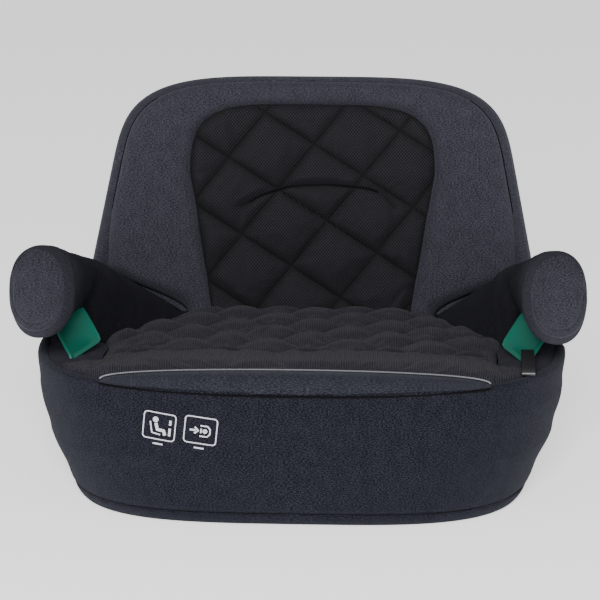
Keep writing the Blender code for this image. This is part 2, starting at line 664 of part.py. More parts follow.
def make_lock():
    pivot_y, pivot_z = LEVER_PIVOT.y, LEVER_PIVOT.z
    guide = box("lock_guide", (-0.031, -0.067, 0.0257), (0.031, -0.048, 0.0287), PLASTIC)
    for side in (-1, 1):
        leg = box(f"guide_leg_{side}", (side * 0.0285 - 0.0022, -0.067, 0.0058), (side * 0.0285 + 0.0022, -0.0335, 0.0400),
                  None, cutter_parts)
        join(guide, leg)
    cut(
        guide,
        box("bolt_way", (-0.0073, BOLT_Y - 0.0030, 0.020), (0.0073, BOLT_Y + 0.0030, 0.035), None, cutter_parts),
        cylinder("pin_way", (-0.040, pivot_y, pivot_z), (1, 0, 0), 0.0024, 0.080, None, 12, collection=cutter_parts),
    )
    cylinder("lever_pin", (-0.0325, pivot_y, pivot_z), (1, 0, 0), 0.0020, 0.0650, STEEL, 12)

    lever = box("adjust_lever", (-0.0250, -0.066, 0.0325), (0.0250, -0.0390, 0.0355), PLASTIC)
    join(
        lever,
        box("lever_neck", (-0.018, -0.152, 0.0325), (0.018, -0.065, 0.0355), None, cutter_parts),
        box("lever_grip", (-0.040, -0.165, 0.0120), (0.040, -0.151, 0.0355), None, cutter_parts),
        cylinder("lever_barrel", (-0.0250, pivot_y, pivot_z), (1, 0, 0), 0.0048, 0.0500, None, 12,
                 collection=cutter_parts),
    )
    cut(
        lever,
        box("lever_window", (-0.0080, BOLT_Y - 0.0050, 0.030), (0.0080, BOLT_Y + 0.0046, 0.040), None, cutter_parts),
        cylinder("lever_bore", (-0.040, pivot_y, pivot_z), (1, 0, 0), 0.0024, 0.080, None, 12, collection=cutter_parts),
        box("grip_scoop", (-0.034, -0.1625, 0.0100), (0.034, -0.1535, 0.0300), None, cutter_parts),
    )

    bolt = box("lock_bolt", (-0.0068, BOLT_Y - 0.0026, 0.0231), (0.0068, BOLT_Y + 0.0026, 0.0400), STEEL)
    join(
        bolt,
        box("bolt_collar", (-0.0120, BOLT_Y - 0.0020, 0.0361), (0.0120, BOLT_Y + 0.0020, 0.0400), None, cutter_parts),
        cylinder("bolt_spigot", (0, BOLT_Y, 0.0390), (0, 0, 1), 0.0022, 0.0070, None, 10, collection=cutter_parts),
    )
    spring_foot, spring_top = 0.0412, deck_height(BOLT_Y) - SHELL_THICK - 0.0014
    curve = bpy.data.curves.new("lock_spring", "CURVE")
    curve.dimensions = "3D"
    curve.bevel_depth = 0.0007
    curve.bevel_resolution = 1
    curve.use_fill_caps = True
    spline = curve.splines.new("POLY")
    turns, steps = 5, 50
    spline.points.add(steps)
    for i in range(steps + 1):
        angle = math.tau * turns * i / steps
        z = spring_foot + (spring_top - spring_foot) * i / steps
        spline.points[i].co = (0.0042 * math.cos(angle), BOLT_Y + 0.0042 * math.sin(angle), z, 1.0)
    place(bpy.data.objects.new("lock_spring", curve), "lock_spring", STEEL)


make_base_shell()
make_base_tray()
make_fasteners_and_feet()
make_armrest(-1, "left")
make_armrest(1, "right")
make_seat()
make_front()
make_back()
make_pull_loop()
make_carriage()
make_lock()
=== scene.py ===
import math

import bmesh
import bpy
import numpy as np
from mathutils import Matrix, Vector


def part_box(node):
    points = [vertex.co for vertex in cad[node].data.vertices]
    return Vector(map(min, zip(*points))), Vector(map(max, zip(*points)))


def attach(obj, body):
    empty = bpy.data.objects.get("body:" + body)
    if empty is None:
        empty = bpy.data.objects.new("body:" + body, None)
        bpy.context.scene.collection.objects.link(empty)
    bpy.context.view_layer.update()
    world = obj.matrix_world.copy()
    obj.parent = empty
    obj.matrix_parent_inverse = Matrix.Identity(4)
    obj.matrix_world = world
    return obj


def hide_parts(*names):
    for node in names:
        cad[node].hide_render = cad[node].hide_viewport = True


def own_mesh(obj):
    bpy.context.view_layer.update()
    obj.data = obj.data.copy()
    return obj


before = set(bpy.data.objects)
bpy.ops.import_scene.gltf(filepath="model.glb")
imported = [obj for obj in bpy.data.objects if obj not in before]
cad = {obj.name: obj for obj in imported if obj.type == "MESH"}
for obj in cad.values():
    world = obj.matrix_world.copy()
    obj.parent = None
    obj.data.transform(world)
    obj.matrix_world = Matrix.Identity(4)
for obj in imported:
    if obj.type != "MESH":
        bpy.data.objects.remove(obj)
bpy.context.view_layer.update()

# ------------------------------------------------------------------ studio
# A pale seamless floor, a large soft box beside the lens, two dim fills and a
# long lens a little above the seat, looking at it almost square on.

floor_colour = (0.86, 0.86, 0.87)
bpy.ops.object.select_all(action="DESELECT")
bpy.ops.mesh.primitive_plane_add(size=8.0, location=(0.0, 1.0, 0.0))
floor = bpy.context.object
floor.name = "studio_floor"
floor_finish = bpy.data.materials.new("studio_floor")
floor_finish.use_nodes = True
floor_finish.node_tree.nodes["Principled BSDF"].inputs["Base Color"].default_value = (*floor_colour, 1)
floor_finish.node_tree.nodes["Principled BSDF"].inputs["Roughness"].default_value = 0.8
floor_finish.node_tree.nodes["Principled BSDF"].inputs["Emission Color"].default_value = (1.0, 1.0, 1.0, 1)
floor_finish.node_tree.nodes["Principled BSDF"].inputs["Emission Strength"].default_value = 0.95
floor.data.materials.append(floor_finish)

backdrop = bpy.data.worlds.new("studio")
bpy.context.scene.world = backdrop
backdrop.use_nodes = True
backdrop.node_tree.nodes["Background"].inputs["Color"].default_value = (1.0, 1.0, 1.0, 1)
backdrop.node_tree.nodes["Background"].inputs["Strength"].default_value = 0.32


def soft_box(name, place, aim, size, power):
    light = bpy.data.lights.new(name, "AREA")
    light.size = size
    light.energy = power
    holder = bpy.data.objects.new(name, light)
    bpy.context.scene.collection.objects.link(holder)
    holder.location = place
    holder.rotation_euler = (Vector(aim) - Vector(place)).to_track_quat("-Z", "Y").to_euler()
    return holder


soft_box("key_light", (-0.05, -2.4, 1.20), (0.0, 0.0, 0.12), 0.9, 84.0)
soft_box("left_fill", (-1.9, -0.9, 0.8), (0.0, 0.0, 0.15), 1.0, 5.0)
soft_box("right_fill", (1.9, -0.9, 0.8), (0.0, 0.0, 0.15), 1.0, 6.0)

view_turn = math.radians(2.7)
view_rise = math.radians(15.0)
view_from = 2.0
aim_point = Vector((-0.0040, -0.0035, 0.1286))
camera_data = bpy.data.cameras.new("camera")
camera_data.sensor_width = 36.0
camera_data.lens = 146.3
camera = bpy.data.objects.new("camera", camera_data)
bpy.context.scene.collection.objects.link(camera)
lens_arm = Vector((math.sin(view_turn) * math.cos(view_rise), -math.cos(view_turn) * math.cos(view_rise),
                   math.sin(view_rise)))
camera.location = aim_point + lens_arm * view_from
camera.rotation_euler = (-lens_arm).to_track_quat("-Z", "Y").to_euler()
bpy.context.scene.camera = camera


# ------------------------------------------------------------------ heather cloth
# Brushed polyester cloth laminated to thin foam. Its yarns mix pale and dark
# fibres, so it reads as slate grey with a fine heathered grain.


class Nodes:
    """Short hand for wiring shader nodes."""

    def __init__(self, tree):
        self.tree = tree

    def join(self, source, target):
        self.tree.links.new(source, target)

    def feed(self, slot, value):
        """Join a socket to an input, or set it to a number, a vector or a colour of three numbers."""
        if isinstance(value, bpy.types.NodeSocket):
            self.join(value, slot)
        elif slot.type == "RGBA" and len(value) == 3:
            slot.default_value = (*value, 1)
        else:
            slot.default_value = value

    def fill(self, node, inputs):
        for key, value in inputs.items():
            self.feed(node.inputs[key], value)
        return node

    def add(self, kind, inputs=None, **settings):
        node = self.tree.nodes.new(kind)
        for key, value in settings.items():
            setattr(node, key, value)
        return self.fill(node, inputs or {})

    def sum(self, kind, first, second=None, third=None, clamp=False):
        """A Math node whose inputs are sockets or plain numbers."""
        node = self.add("ShaderNodeMath", operation=kind, use_clamp=clamp)
        for slot, value in enumerate((first, second, third)):
            if value is not None:
                self.feed(node.inputs[slot], value)
        return node.outputs[0]

    def mix(self, share, first, second, kind="MIX"):
        node = self.add("ShaderNodeMix", data_type="RGBA", blend_type=kind)
        return self.fill(node, {0: share, 6: first, 7: second}).outputs[2]


def new_group(name, inputs, outputs=("Color", "Roughness", "Height")):
    group = bpy.data.node_groups.new(name, "ShaderNodeTree")
    for label, value in inputs.items():
        colour = isinstance(value, tuple)
        socket = group.interface.new_socket(
            name=label, in_out="INPUT", socket_type="NodeSocketColor" if colour else "NodeSocketFloat")
        socket.default_value = (*value, 1) if colour else value
    for label in outputs:
        group.interface.new_socket(
            name=label, in_out="OUTPUT", socket_type="NodeSocketColor" if label == "Color" else "NodeSocketFloat")
    kit = Nodes(group)
    return group, kit, kit.add("NodeGroupInput").outputs, kit.add("NodeGroupOutput").inputs


def new_material(name):
    made = bpy.data.materials.new(name)
    made.use_nodes = True
    return made, Nodes(made.node_tree), made.node_tree.nodes["Principled BSDF"]


def heather_group():
    """Heathered yarn: colour, roughness and height from the cloth's own UV, in metres."""
    group, kit, given, result = new_group("heather_yarn", {
        "Dark yarn": (0.02, 0.02, 0.03), "Pale yarn": (0.1, 0.1, 0.12), "Yarns per metre": 1500.0,
        "Pale share": 0.4})
    uv = kit.add("ShaderNodeUVMap", uv_map="UVMap").outputs[0]
    across = kit.add("ShaderNodeSeparateXYZ", {0: uv})
    warp = kit.sum("SINE", kit.sum("MULTIPLY", across.outputs[0], kit.sum("MULTIPLY", given[2], math.pi)))
    weft = kit.sum("SINE", kit.sum("MULTIPLY", across.outputs[1], kit.sum("MULTIPLY", given[2], math.pi)))
    weave = kit.sum("MULTIPLY", warp, weft)
    stretch = kit.add("ShaderNodeMapping", {"Scale": (1.0, 2.4, 1.0), 0: uv})
    fleck = kit.add("ShaderNodeTexNoise", {
        "Scale": 620.0, "Detail": 3.0, "Roughness": 0.75, "Vector": stretch.outputs[0]}, noise_dimensions="2D")
    cloud = kit.add("ShaderNodeTexNoise", {"Scale": 95.0, "Detail": 4.0, "Vector": uv}, noise_dimensions="2D")
    spread = kit.sum("ADD", kit.sum("MULTIPLY", fleck.outputs[0], 1.5), kit.sum("MULTIPLY", cloud.outputs[0], 0.14))
    spread = kit.sum("ADD", spread, kit.sum("MULTIPLY", weave, 0.10))
    edge = kit.add("ShaderNodeMapRange", {
        "From Min": 0.62, "From Max": 1.06, "Value": spread}, interpolation_type="SMOOTHSTEP")
    share = kit.sum("ADD", edge.outputs[0], kit.sum("SUBTRACT", given[3], 0.5), clamp=True)
    kit.join(kit.mix(share, given[0], given[1]), result[0])
    kit.join(kit.sum("ADD", kit.sum("MULTIPLY", fleck.outputs[0], 0.2), 0.78), result[1])
    height = kit.sum("ADD", kit.sum("MULTIPLY", weave, 0.5), kit.sum("MULTIPLY", fleck.outputs[0], 0.9))
    kit.join(height, result[2])
    return group


HEATHER = heather_group()


def stitch_group():
    """A mask of one family of evenly spaced sewn lines across the cloth, from its UV in metres."""
    group, kit, given, result = new_group("sewn_lines", {
        "Lean": 1.0, "Shift": 0.0, "Period": 0.06}, ("Line",))
    axes = kit.add("ShaderNodeSeparateXYZ", {0: kit.add("ShaderNodeUVMap", uv_map="UVMap").outputs[0]})
    place = kit.sum("ADD", kit.sum("ADD", axes.outputs[1], kit.sum("MULTIPLY", axes.outputs[0], given[0])), given[1])
    share = kit.sum("FRACT", kit.sum("ADD", kit.sum("DIVIDE", place, given[2]), 0.5))
    away = kit.sum("MULTIPLY", kit.sum("ABSOLUTE", kit.sum("SUBTRACT", share, 0.5)), given[2])
    slope = kit.sum("POWER", kit.sum("ADD", kit.sum("MULTIPLY", given[0], given[0]), 1.0), 0.5)
    line = kit.add("ShaderNodeMapRange", {
        "From Min": 0.0017, "From Max": 0.0004, "Value": kit.sum("DIVIDE", away, slope)},
        interpolation_type="SMOOTHSTEP")
    kit.join(line.outputs[0], result[0])
    return group


STITCH = stitch_group()


def darken_stitches_and_groove_shade(kit, colour, families, most):
    """Darken the cloth along each (lean, shift, period) family of sewn lines, where the quilted attribute is: partly
    the stitch thread and partly painted shadow in the stitched grooves.
    """
    lines = None
    for lean, shift, period in families:
        made = kit.add("ShaderNodeGroup", {"Lean": lean, "Shift": shift, "Period": period}, node_tree=STITCH)
        lines = made.outputs[0] if lines is None else kit.sum("MAXIMUM", lines, made.outputs[0])
    quilted = kit.add("ShaderNodeAttribute", attribute_name="quilted", attribute_type="GEOMETRY").outputs["Fac"]
    return kit.mix(kit.sum("MULTIPLY", kit.sum("MULTIPLY", lines, quilted), most), colour, (0.0006, 0.0006, 0.0009))


def darken_by_press_and_shade(kit, colour, most):
    """Darken the cloth where its point attribute says: cloth pressed flat by its stitches is denser and darker, and
    the same darkening paints shade in stitched grooves and on the armrest sleeves' inner sides.
    """
    press_and_shade = kit.add("ShaderNodeAttribute", attribute_name="press_and_shade", attribute_type="GEOMETRY").outputs["Fac"]
    return kit.mix(kit.sum("MULTIPLY", press_and_shade, most), colour, (0.001, 0.001, 0.0015))


def cloth_material(name, group, values, depth=0.0004, sheen=0.10, sheen_tint=(0.6, 0.62, 0.75), gloss=0.2,
                   press_and_shade=0.0, families=()):
    """A cloth whose colour, roughness and height come from a yarn group."""
    made, kit, shader = new_material(name)
    yarn = kit.add("ShaderNodeGroup", node_tree=group)
    for key, value in values.items():
        yarn.inputs[key].default_value = (*value, 1) if isinstance(value, tuple) else value
    bump = kit.add("ShaderNodeBump", {"Strength": 0.8, "Distance": depth, "Height": yarn.outputs["Height"]})
    colour = darken_by_press_and_shade(kit, yarn.outputs["Color"], press_and_shade) if press_and_shade else yarn.outputs["Color"]
    if families:
        colour = darken_stitches_and_groove_shade(kit, colour, families, 0.95)
    kit.fill(shader, {
        "Base Color": colour, "Roughness": yarn.outputs["Roughness"], "Normal": bump.outputs[0],
        "Sheen Weight": sheen, "Sheen Roughness": 0.45, "Sheen Tint": sheen_tint, "Specular IOR Level": gloss})
    return made


back_cloth = cloth_material("back_heather", HEATHER, {
    "Dark yarn": (0.0095, 0.0092, 0.0145), "Pale yarn": (0.060, 0.058, 0.078), "Pale share": 0.42})
apron_cloth = cloth_material("apron_heather", HEATHER, sheen=0.08, gloss=0.09, values={
    "Dark yarn": (0.0016, 0.0019, 0.0036), "Pale yarn": (0.0270, 0.0290, 0.0430), "Pale share": 0.34})
end_cloth = cloth_material("arm_end_heather", HEATHER, {
    "Dark yarn": (0.0072, 0.0069, 0.0107), "Pale yarn": (0.042, 0.0405, 0.055), "Pale share": 0.44})
# The sleeve cloth darkens by its point attribute, which paints shade on the sleeves' inner sides.
arm_cloth = cloth_material("arm_heather", HEATHER, sheen=0.03, gloss=0.08, press_and_shade=0.84, values={
    "Dark yarn": (0.0090, 0.0086, 0.0130), "Pale yarn": (0.052, 0.049, 0.066), "Pale share": 0.44})


# ------------------------------------------------------------------ cutting and sewing
# Every cloth piece starts as a flat grid off the roll, which is laid over the
# form, padded along its normals and given its thickness.


def deselect():
    if bpy.context.object and bpy.context.object.mode != "OBJECT":
        bpy.ops.object.mode_set(mode="OBJECT")
    bpy.ops.object.select_all(action="DESELECT")


def pick(obj):
    deselect()
    obj.select_set(True)
    bpy.context.view_layer.objects.active = obj
    return obj


def points_of(mesh):
    flat = np.empty(len(mesh.vertices) * 3)
    mesh.vertices.foreach_get("co", flat)
    return flat.reshape(-1, 3)


def set_points(mesh, points):
    mesh.vertices.foreach_set("co", np.ascontiguousarray(points, np.float64).ravel())
    mesh.update()


def normals_of(mesh):
    flat = np.empty(len(mesh.vertices) * 3)
    mesh.vertices.foreach_get("normal", flat)
    return flat.reshape(-1, 3)


def lay_cloth(name, across, along, place, cut=(1.0, 1.0)):
    """A grid of cloth laid where place(u, v) says; its UV map keeps the cut's size in metres."""
    deselect()
    bpy.ops.mesh.primitive_grid_add(x_subdivisions=across, y_subdivisions=along, size=1.0)
    obj = bpy.context.object
    obj.name = name
    mesh = obj.data
    mesh.name = name
    flat = points_of(mesh)
    u, v = flat[:, 0] + 0.5, flat[:, 1] + 0.5
    for key, values in (("u", u), ("v", v)):
        mesh.attributes.new(key, "FLOAT", "POINT").data.foreach_set("value", values.astype(np.float32))
    corner = np.empty(len(mesh.loops), np.int32)
    mesh.loops.foreach_get("vertex_index", corner)
    uv = np.stack([u[corner] * cut[0], v[corner] * cut[1]], 1)
    layer = mesh.uv_layers.active or mesh.uv_layers.new(name="UVMap")
    layer.name = "UVMap"
    layer.data.foreach_set("uv", uv.astype(np.float32).ravel())
    set_points(mesh, place(u, v))
    mesh.update()
    return obj


def uv_of(obj):
    """The u and v that each point of a laid cloth was cut at."""
    result = []
    for key in ("u", "v"):
        values = np.empty(len(obj.data.vertices), np.float32)
        obj.data.attributes[key].data.foreach_get("value", values)
        result.append(values.astype(np.float64))
    return result


def flat_uv(obj, across, along):
    """Lay the UV map flat from two lengths at each point, in metres."""
    mesh = obj.data
    corner = np.empty(len(mesh.loops), np.int32)
    mesh.loops.foreach_get("vertex_index", corner)
    spots = np.stack([across[corner], along[corner]], 1).astype(np.float32)
    mesh.uv_layers["UVMap"].data.foreach_set("uv", spots.ravel())


def close_up(obj, near=0.00002):
    """Merge the doubles where a laid cloth meets itself."""
    pick(obj)
    bpy.ops.object.mode_set(mode="EDIT")
    bpy.ops.mesh.select_all(action="SELECT")
    bpy.ops.mesh.remove_doubles(threshold=near)
    bpy.ops.object.mode_set(mode="OBJECT")
    return obj


def face_up(obj):
    """Turn a sheet so that the face in its middle looks up."""
    if obj.data.polygons[len(obj.data.polygons) // 2].normal.z < 0:
        obj.data.flip_normals()


def face_front(obj):
    """Turn a laid cloth so that its right side faces the front."""
    mesh = obj.data
    total = sum((face.normal * face.area for face in mesh.polygons), Vector())
    if total.y > 0:
        mesh.flip_normals()
    return obj


def pad_out(obj, height):
    """Raise the surface along its own normals by height(u, v)."""
    u, v = uv_of(obj)
    mesh = obj.data
    set_points(mesh, points_of(mesh) + normals_of(mesh) * height(u, v)[:, None])
    return obj


def store_point_share(obj, share, name="press_and_shade"):
    """Store a share from 0 to 1 at each point in a named attribute; by default the one that darkens cloth for pressed
    stitches and painted shade.
    """
    layer = obj.data.attributes.get(name) or obj.data.attributes.new(name, "FLOAT", "POINT")
    layer.data.foreach_set("value", np.clip(share, 0, 1).astype(np.float32))


def swell(obj, held, pressure, slack, most):
    """Let the padding swell and wrinkle the cloth between its sewn lines, by no more than most."""
    rest = points_of(obj.data)
    sewn = obj.vertex_groups.new(name="sewn")
    levels = np.round(np.clip(held, 0, 1) * 10) / 10
    for level in np.unique(levels):
        sewn.add([int(k) for k in np.nonzero(levels == level)[0]], float(level), "REPLACE")
    step = obj.modifiers.new("cloth", "CLOTH")
    step.settings.vertex_group_mass = "sewn"
    step.settings.pin_stiffness = 8.0
    step.settings.quality = 6
    step.settings.mass = 0.15
    step.settings.tension_stiffness = step.settings.compression_stiffness = 12.0
    step.settings.shear_stiffness = 4.0
    step.settings.bending_stiffness = 0.08
    step.settings.use_pressure = True
    step.settings.uniform_pressure_force = pressure
    step.settings.shrink_min = -slack
    step.settings.effector_weights.gravity = 0.0
    step.collision_settings.use_collision = False
    step.point_cache.frame_start, step.point_cache.frame_end = 1, 20
    for moment in range(1, 21):
        bpy.context.scene.frame_set(moment)
    pick(obj)
    bpy.ops.object.modifier_apply(modifier="cloth")
    bpy.context.scene.frame_set(1)
    moved = points_of(obj.data) - rest
    far = np.linalg.norm(moved, axis=1)
    set_points(obj.data, rest + moved * (np.minimum(far, most) / np.maximum(far, 1e-9))[:, None])
    return obj


def refine(obj):
    """Smooth a piece once, with four faces for each one."""
    step = obj.modifiers.new("refine", "SUBSURF")
    step.levels = step.render_levels = 1
    return apply_all(obj)


def apply_all(obj):
    pick(obj)
    for step in list(obj.modifiers):
        bpy.ops.object.modifier_apply(modifier=step.name)
    return obj


def sew(obj, body, cloth, slot, *stands_for, wall=0.0, smooth=True):
    """Give a piece its wall and cloth, and let it stand for its CAD nodes."""
    if wall:
        step = obj.modifiers.new("wall", "SOLIDIFY")
        step.thickness = wall
        step.offset = -1.0
        step.use_quality_normals = True
    apply_all(obj)
    if smooth:
        pick(obj)
        bpy.ops.object.shade_smooth_by_angle(angle=math.radians(50))
    obj.data.materials.clear()
    obj.data.materials.append(cloth)
    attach(obj, body)
    if stands_for:
        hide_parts(*stands_for)
    return obj


def bump_near(value, middle, width):
    """A soft ridge of height one where value is near middle."""
    return np.exp(-(((value - middle) / width) ** 2))


def smooth_step(value, low, high):
    share = np.clip((value - low) / (high - low), 0, 1)
    return share * share * (3 - 2 * share)


# ------------------------------------------------------------------ base cover
# The fitted cover round the front and sides of the base: heather cloth over
# thin foam, cut as one front apron, two side panels and a separate hem band.

rim_height = 0.108
base_mid = -0.040
base_levels = np.array((
    (0.0006, 0.1765, -0.187, 0.170, 3.5),
    (0.0090, 0.1815, -0.190, 0.172, 3.5),
    (0.0500, 0.1995, -0.196, 0.175, 3.2),
    (0.0850, 0.2080, -0.1985, 0.176, 3.0),
    (rim_height, 0.2095, -0.1985, 0.176, 2.9),
))


def power(value, exponent):
    return np.sign(value) * np.abs(value) ** exponent


def base_face(angle, height):
    """Points of the base's outer face, by angle and height."""
    half, front, back, square = (np.interp(height, base_levels[:, 0], base_levels[:, k]) for k in (1, 2, 3, 4))
    behind = np.sin(angle) > 0
    square = np.where(behind, square + (9.0 - square) * np.abs(np.sin(angle)) ** 0.25, square)
    depth = np.where(behind, back - base_mid, base_mid - front)
    x = half * power(np.cos(angle), 2 / square)
    y = base_mid + depth * power(np.sin(angle), 2 / square)
    return np.stack([x, y, height + 0 * x], 1)


def even_angles(start, end, height=0.08):
    """Angles that step evenly along the outline, so the cloth isn't stretched."""
    fine = np.radians(np.linspace(start, end, 2000))
    path = base_face(fine, np.full_like(fine, height))
    walked = np.concatenate([[0], np.cumsum(np.linalg.norm(np.diff(path, axis=0), axis=1))])
    return lambda share: np.interp(share * walked[-1], walked, fine), walked[-1]


def strip_of_cover(name, start, end, low, high, across, along, shape, rolled=1):
    """A strip of the base cover between two angles and two heights; a rolled one turns in over the rim."""
    turn, length = even_angles(start, end)

    def place(u, v):
        over = np.clip((v - 0.93) / 0.07, 0, 1) * rolled * math.radians(150)
        face = base_face(turn(u), low + (high - low) * np.minimum(v, 1 - 0.07 * rolled) / (1 - 0.07 * rolled))
        inward = 1 - 0.0034 * (1 - np.cos(over)) / 0.19
        face[:, 0] *= inward
        face[:, 1] = base_mid + (face[:, 1] - base_mid) * inward
        face[:, 2] += 0.0034 * np.sin(over)
        return face

    piece = lay_cloth(name, across, along, place, cut=(length, high - low))
    middle = piece.data.polygons[len(piece.data.polygons) // 2]
    if middle.normal.dot(middle.center - Vector((0, base_mid, middle.center.z))) < 0:
        piece.data.flip_normals()
    pad_out(piece, shape)
    return piece


def apron_shape(u, v):
    """Taut foam-backed cloth: slightly full in the middle, pulled in at hem and rim, with faint drag lines."""
    full = 0.0010 * np.sin(np.pi * v) ** 0.7
    drag = 0.00035 * np.sin(38 * u + 6 * v) * np.sin(np.pi * v) * (0.4 + 0.6 * np.abs(2 * u - 1))
    corner = 0.0006 * np.sin(21 * v + 14 * u) * smooth_step(np.abs(2 * u - 1), 0.55, 0.95)
    hem = -0.0012 * bump_near(v, 0.0, 0.02)
    return full + drag + corner + hem


apron = strip_of_cover("front_apron_cloth", 182.5, 357.5, 0.0100, 0.1060, 260, 100, apron_shape)
sew(apron, "seat", apron_cloth, "heather_fabric", "front_apron", wall=0.0022)

hem = strip_of_cover("hem_band_cloth", 182.5, 357.5, 0.0008, 0.0100, 220, 10,
                     lambda u, v: 0.0012 * np.sin(np.pi * v) ** 0.6 - 0.0003, rolled=0)
sew(hem, "seat", apron_cloth, "heather_fabric", "hem_band", wall=0.0022)


def side_shape(u, v):
    crease = -0.0010 * bump_near(v - 0.30 * u, 0.62, 0.035)
    return 0.0009 * np.sin(np.pi * v) * np.sin(np.pi * u) ** 0.5 + crease


for tag, start, end in (("left", 150.0, 181.6), ("right", -1.6, 30.0)):
    side = strip_of_cover(f"side_panel_{tag}_cloth", start, end, 0.036, 0.1045, 70, 60, side_shape)
    sew(side, "seat", apron_cloth, "heather_fabric", f"side_panel_{tag}", wall=0.0022)


# ------------------------------------------------------------------ armrests
# A moulded horn on each side, slipped into a padded heather sleeve. A welted
# end panel closes the sleeve, and the notch under the horn holds the lap belt.

arm_rows = np.array((
    # y, inner x at the top and the foot, outer x, inner and outer underside, inner and outer top
    (0.1040, 0.1120, 0.1050, 0.2030, 0.0860, 0.1000, 0.0900, 0.1400),
    (0.0650, 0.1220, 0.1150, 0.2070, 0.0860, 0.1000, 0.1110, 0.1540),
    (0.0200, 0.1410, 0.1370, 0.2095, 0.0870, 0.1000, 0.1360, 0.1690),
    (-0.0150, 0.1500, 0.1570, 0.2108, 0.0880, 0.1000, 0.1580, 0.1745),
    (-0.0300, 0.1540, 0.1650, 0.2115, 0.0900, 0.1010, 0.1660, 0.1770),
    (-0.0400, 0.1565, 0.1710, 0.2120, 0.1080, 0.1080, 0.1710, 0.1790),
    (-0.0460, 0.1580, 0.1750, 0.2125, 0.1260, 0.1180, 0.1735, 0.1800),
    (-0.0520, 0.1590, 0.1750, 0.2130, 0.1345, 0.1285, 0.1750, 0.1810),
    (-0.0880, 0.1650, 0.1700, 0.2172, 0.1370, 0.1285, 0.1880, 0.1925),
    (-0.1150, 0.1700, 0.1720, 0.2200, 0.1345, 0.1287, 0.1975, 0.1998),
    (-0.1280, 0.1722, 0.1722, 0.2206, 0.1320, 0.1300, 0.2005, 0.2018),
    (-0.1370, 0.1745, 0.1745, 0.2206, 0.1345, 0.1340, 0.2015, 0.2022),
    (-0.1440, 0.1775, 0.1775, 0.2203, 0.1405, 0.1405, 0.2017, 0.2022),
    (-0.1480, 0.1808, 0.1808, 0.2200, 0.1480, 0.1480, 0.2012, 0.2018),
))
row_steps = np.linalg.norm(np.diff(arm_rows[:, :2], axis=0), axis=1) + 0.4 * np.abs(np.diff(arm_rows[:, 4]))
row_marks = np.concatenate([[0], np.cumsum(row_steps)]) / row_steps.sum()
end_lean = 0.28
notch_slant = 0.012


def arm_face(side, turn, along):
    """The sleeve's surface: turn runs round it, along runs from the back to the end panel."""
    y, x_in, x_foot, x_out, low_in, low_out, top_in, top_out = (
        np.interp(along, row_marks, arm_rows[:, k]) for k in range(8))
    angle = math.tau * turn
    above = np.interp(y, (-0.13, -0.06, -0.03), (2.25, 2.5, 3.3))
    below = np.interp(y, (-0.13, -0.075, -0.045, -0.03), (2.25, 2.6, 5.0, 9.0))
    square = np.where(np.sin(angle) < 0, below, above)
    across = 0.5 + 0.5 * power(np.cos(angle), 2 / square)
    upward = 0.5 + 0.5 * power(np.sin(angle), 2 / square)
    inner = x_in + (x_foot - x_in) * (1 - upward) ** 1.5
    x = inner + across * (x_out - inner)
    low = low_in + across * (low_out - low_in)
    top = top_in + across * (top_out - top_in)
    z = low + upward * (top - low)
    slant = notch_slant * (1 - across) ** 2 * np.interp(y, (-0.09, -0.052, -0.04, -0.02), (0, 1, 1, 0))
    lean = end_lean * smooth_step(-y, 0.085, 0.140)
    return np.stack([side * x, y - slant + lean * (z - (low + top) / 2), z], 1)


def arm_shape(u, v):
    """Drag lines fan out from the notch, and the seam runs back from the end panel over the top."""
    round_notch = smooth_step(v, 0.38, 0.55) * (1 - smooth_step(v, 0.75, 0.95))
    folds = 0.0007 * np.sin(9 * math.tau * u + 16 * v) * round_notch * (0.5 + 0.5 * np.sin(math.tau * (u - 0.5)))
    crease = -0.0011 * bump_near(v - 0.06 * np.cos(math.tau * (u - 0.45)), 0.80, 0.018)
    crease *= smooth_step(np.abs(u - 0.5), 0.34, 0.0)
    seam = -0.0009 * bump_near(u, 0.335, 0.010) * smooth_step(v, 0.50, 0.60)
    welt = -0.0016 * bump_near(v, 1.0, 0.020)
    soft = 0.0006 * np.sin(31 * v + 3 * u) * np.sin(17 * u + 2.0)
    return folds + crease + seam + welt + soft


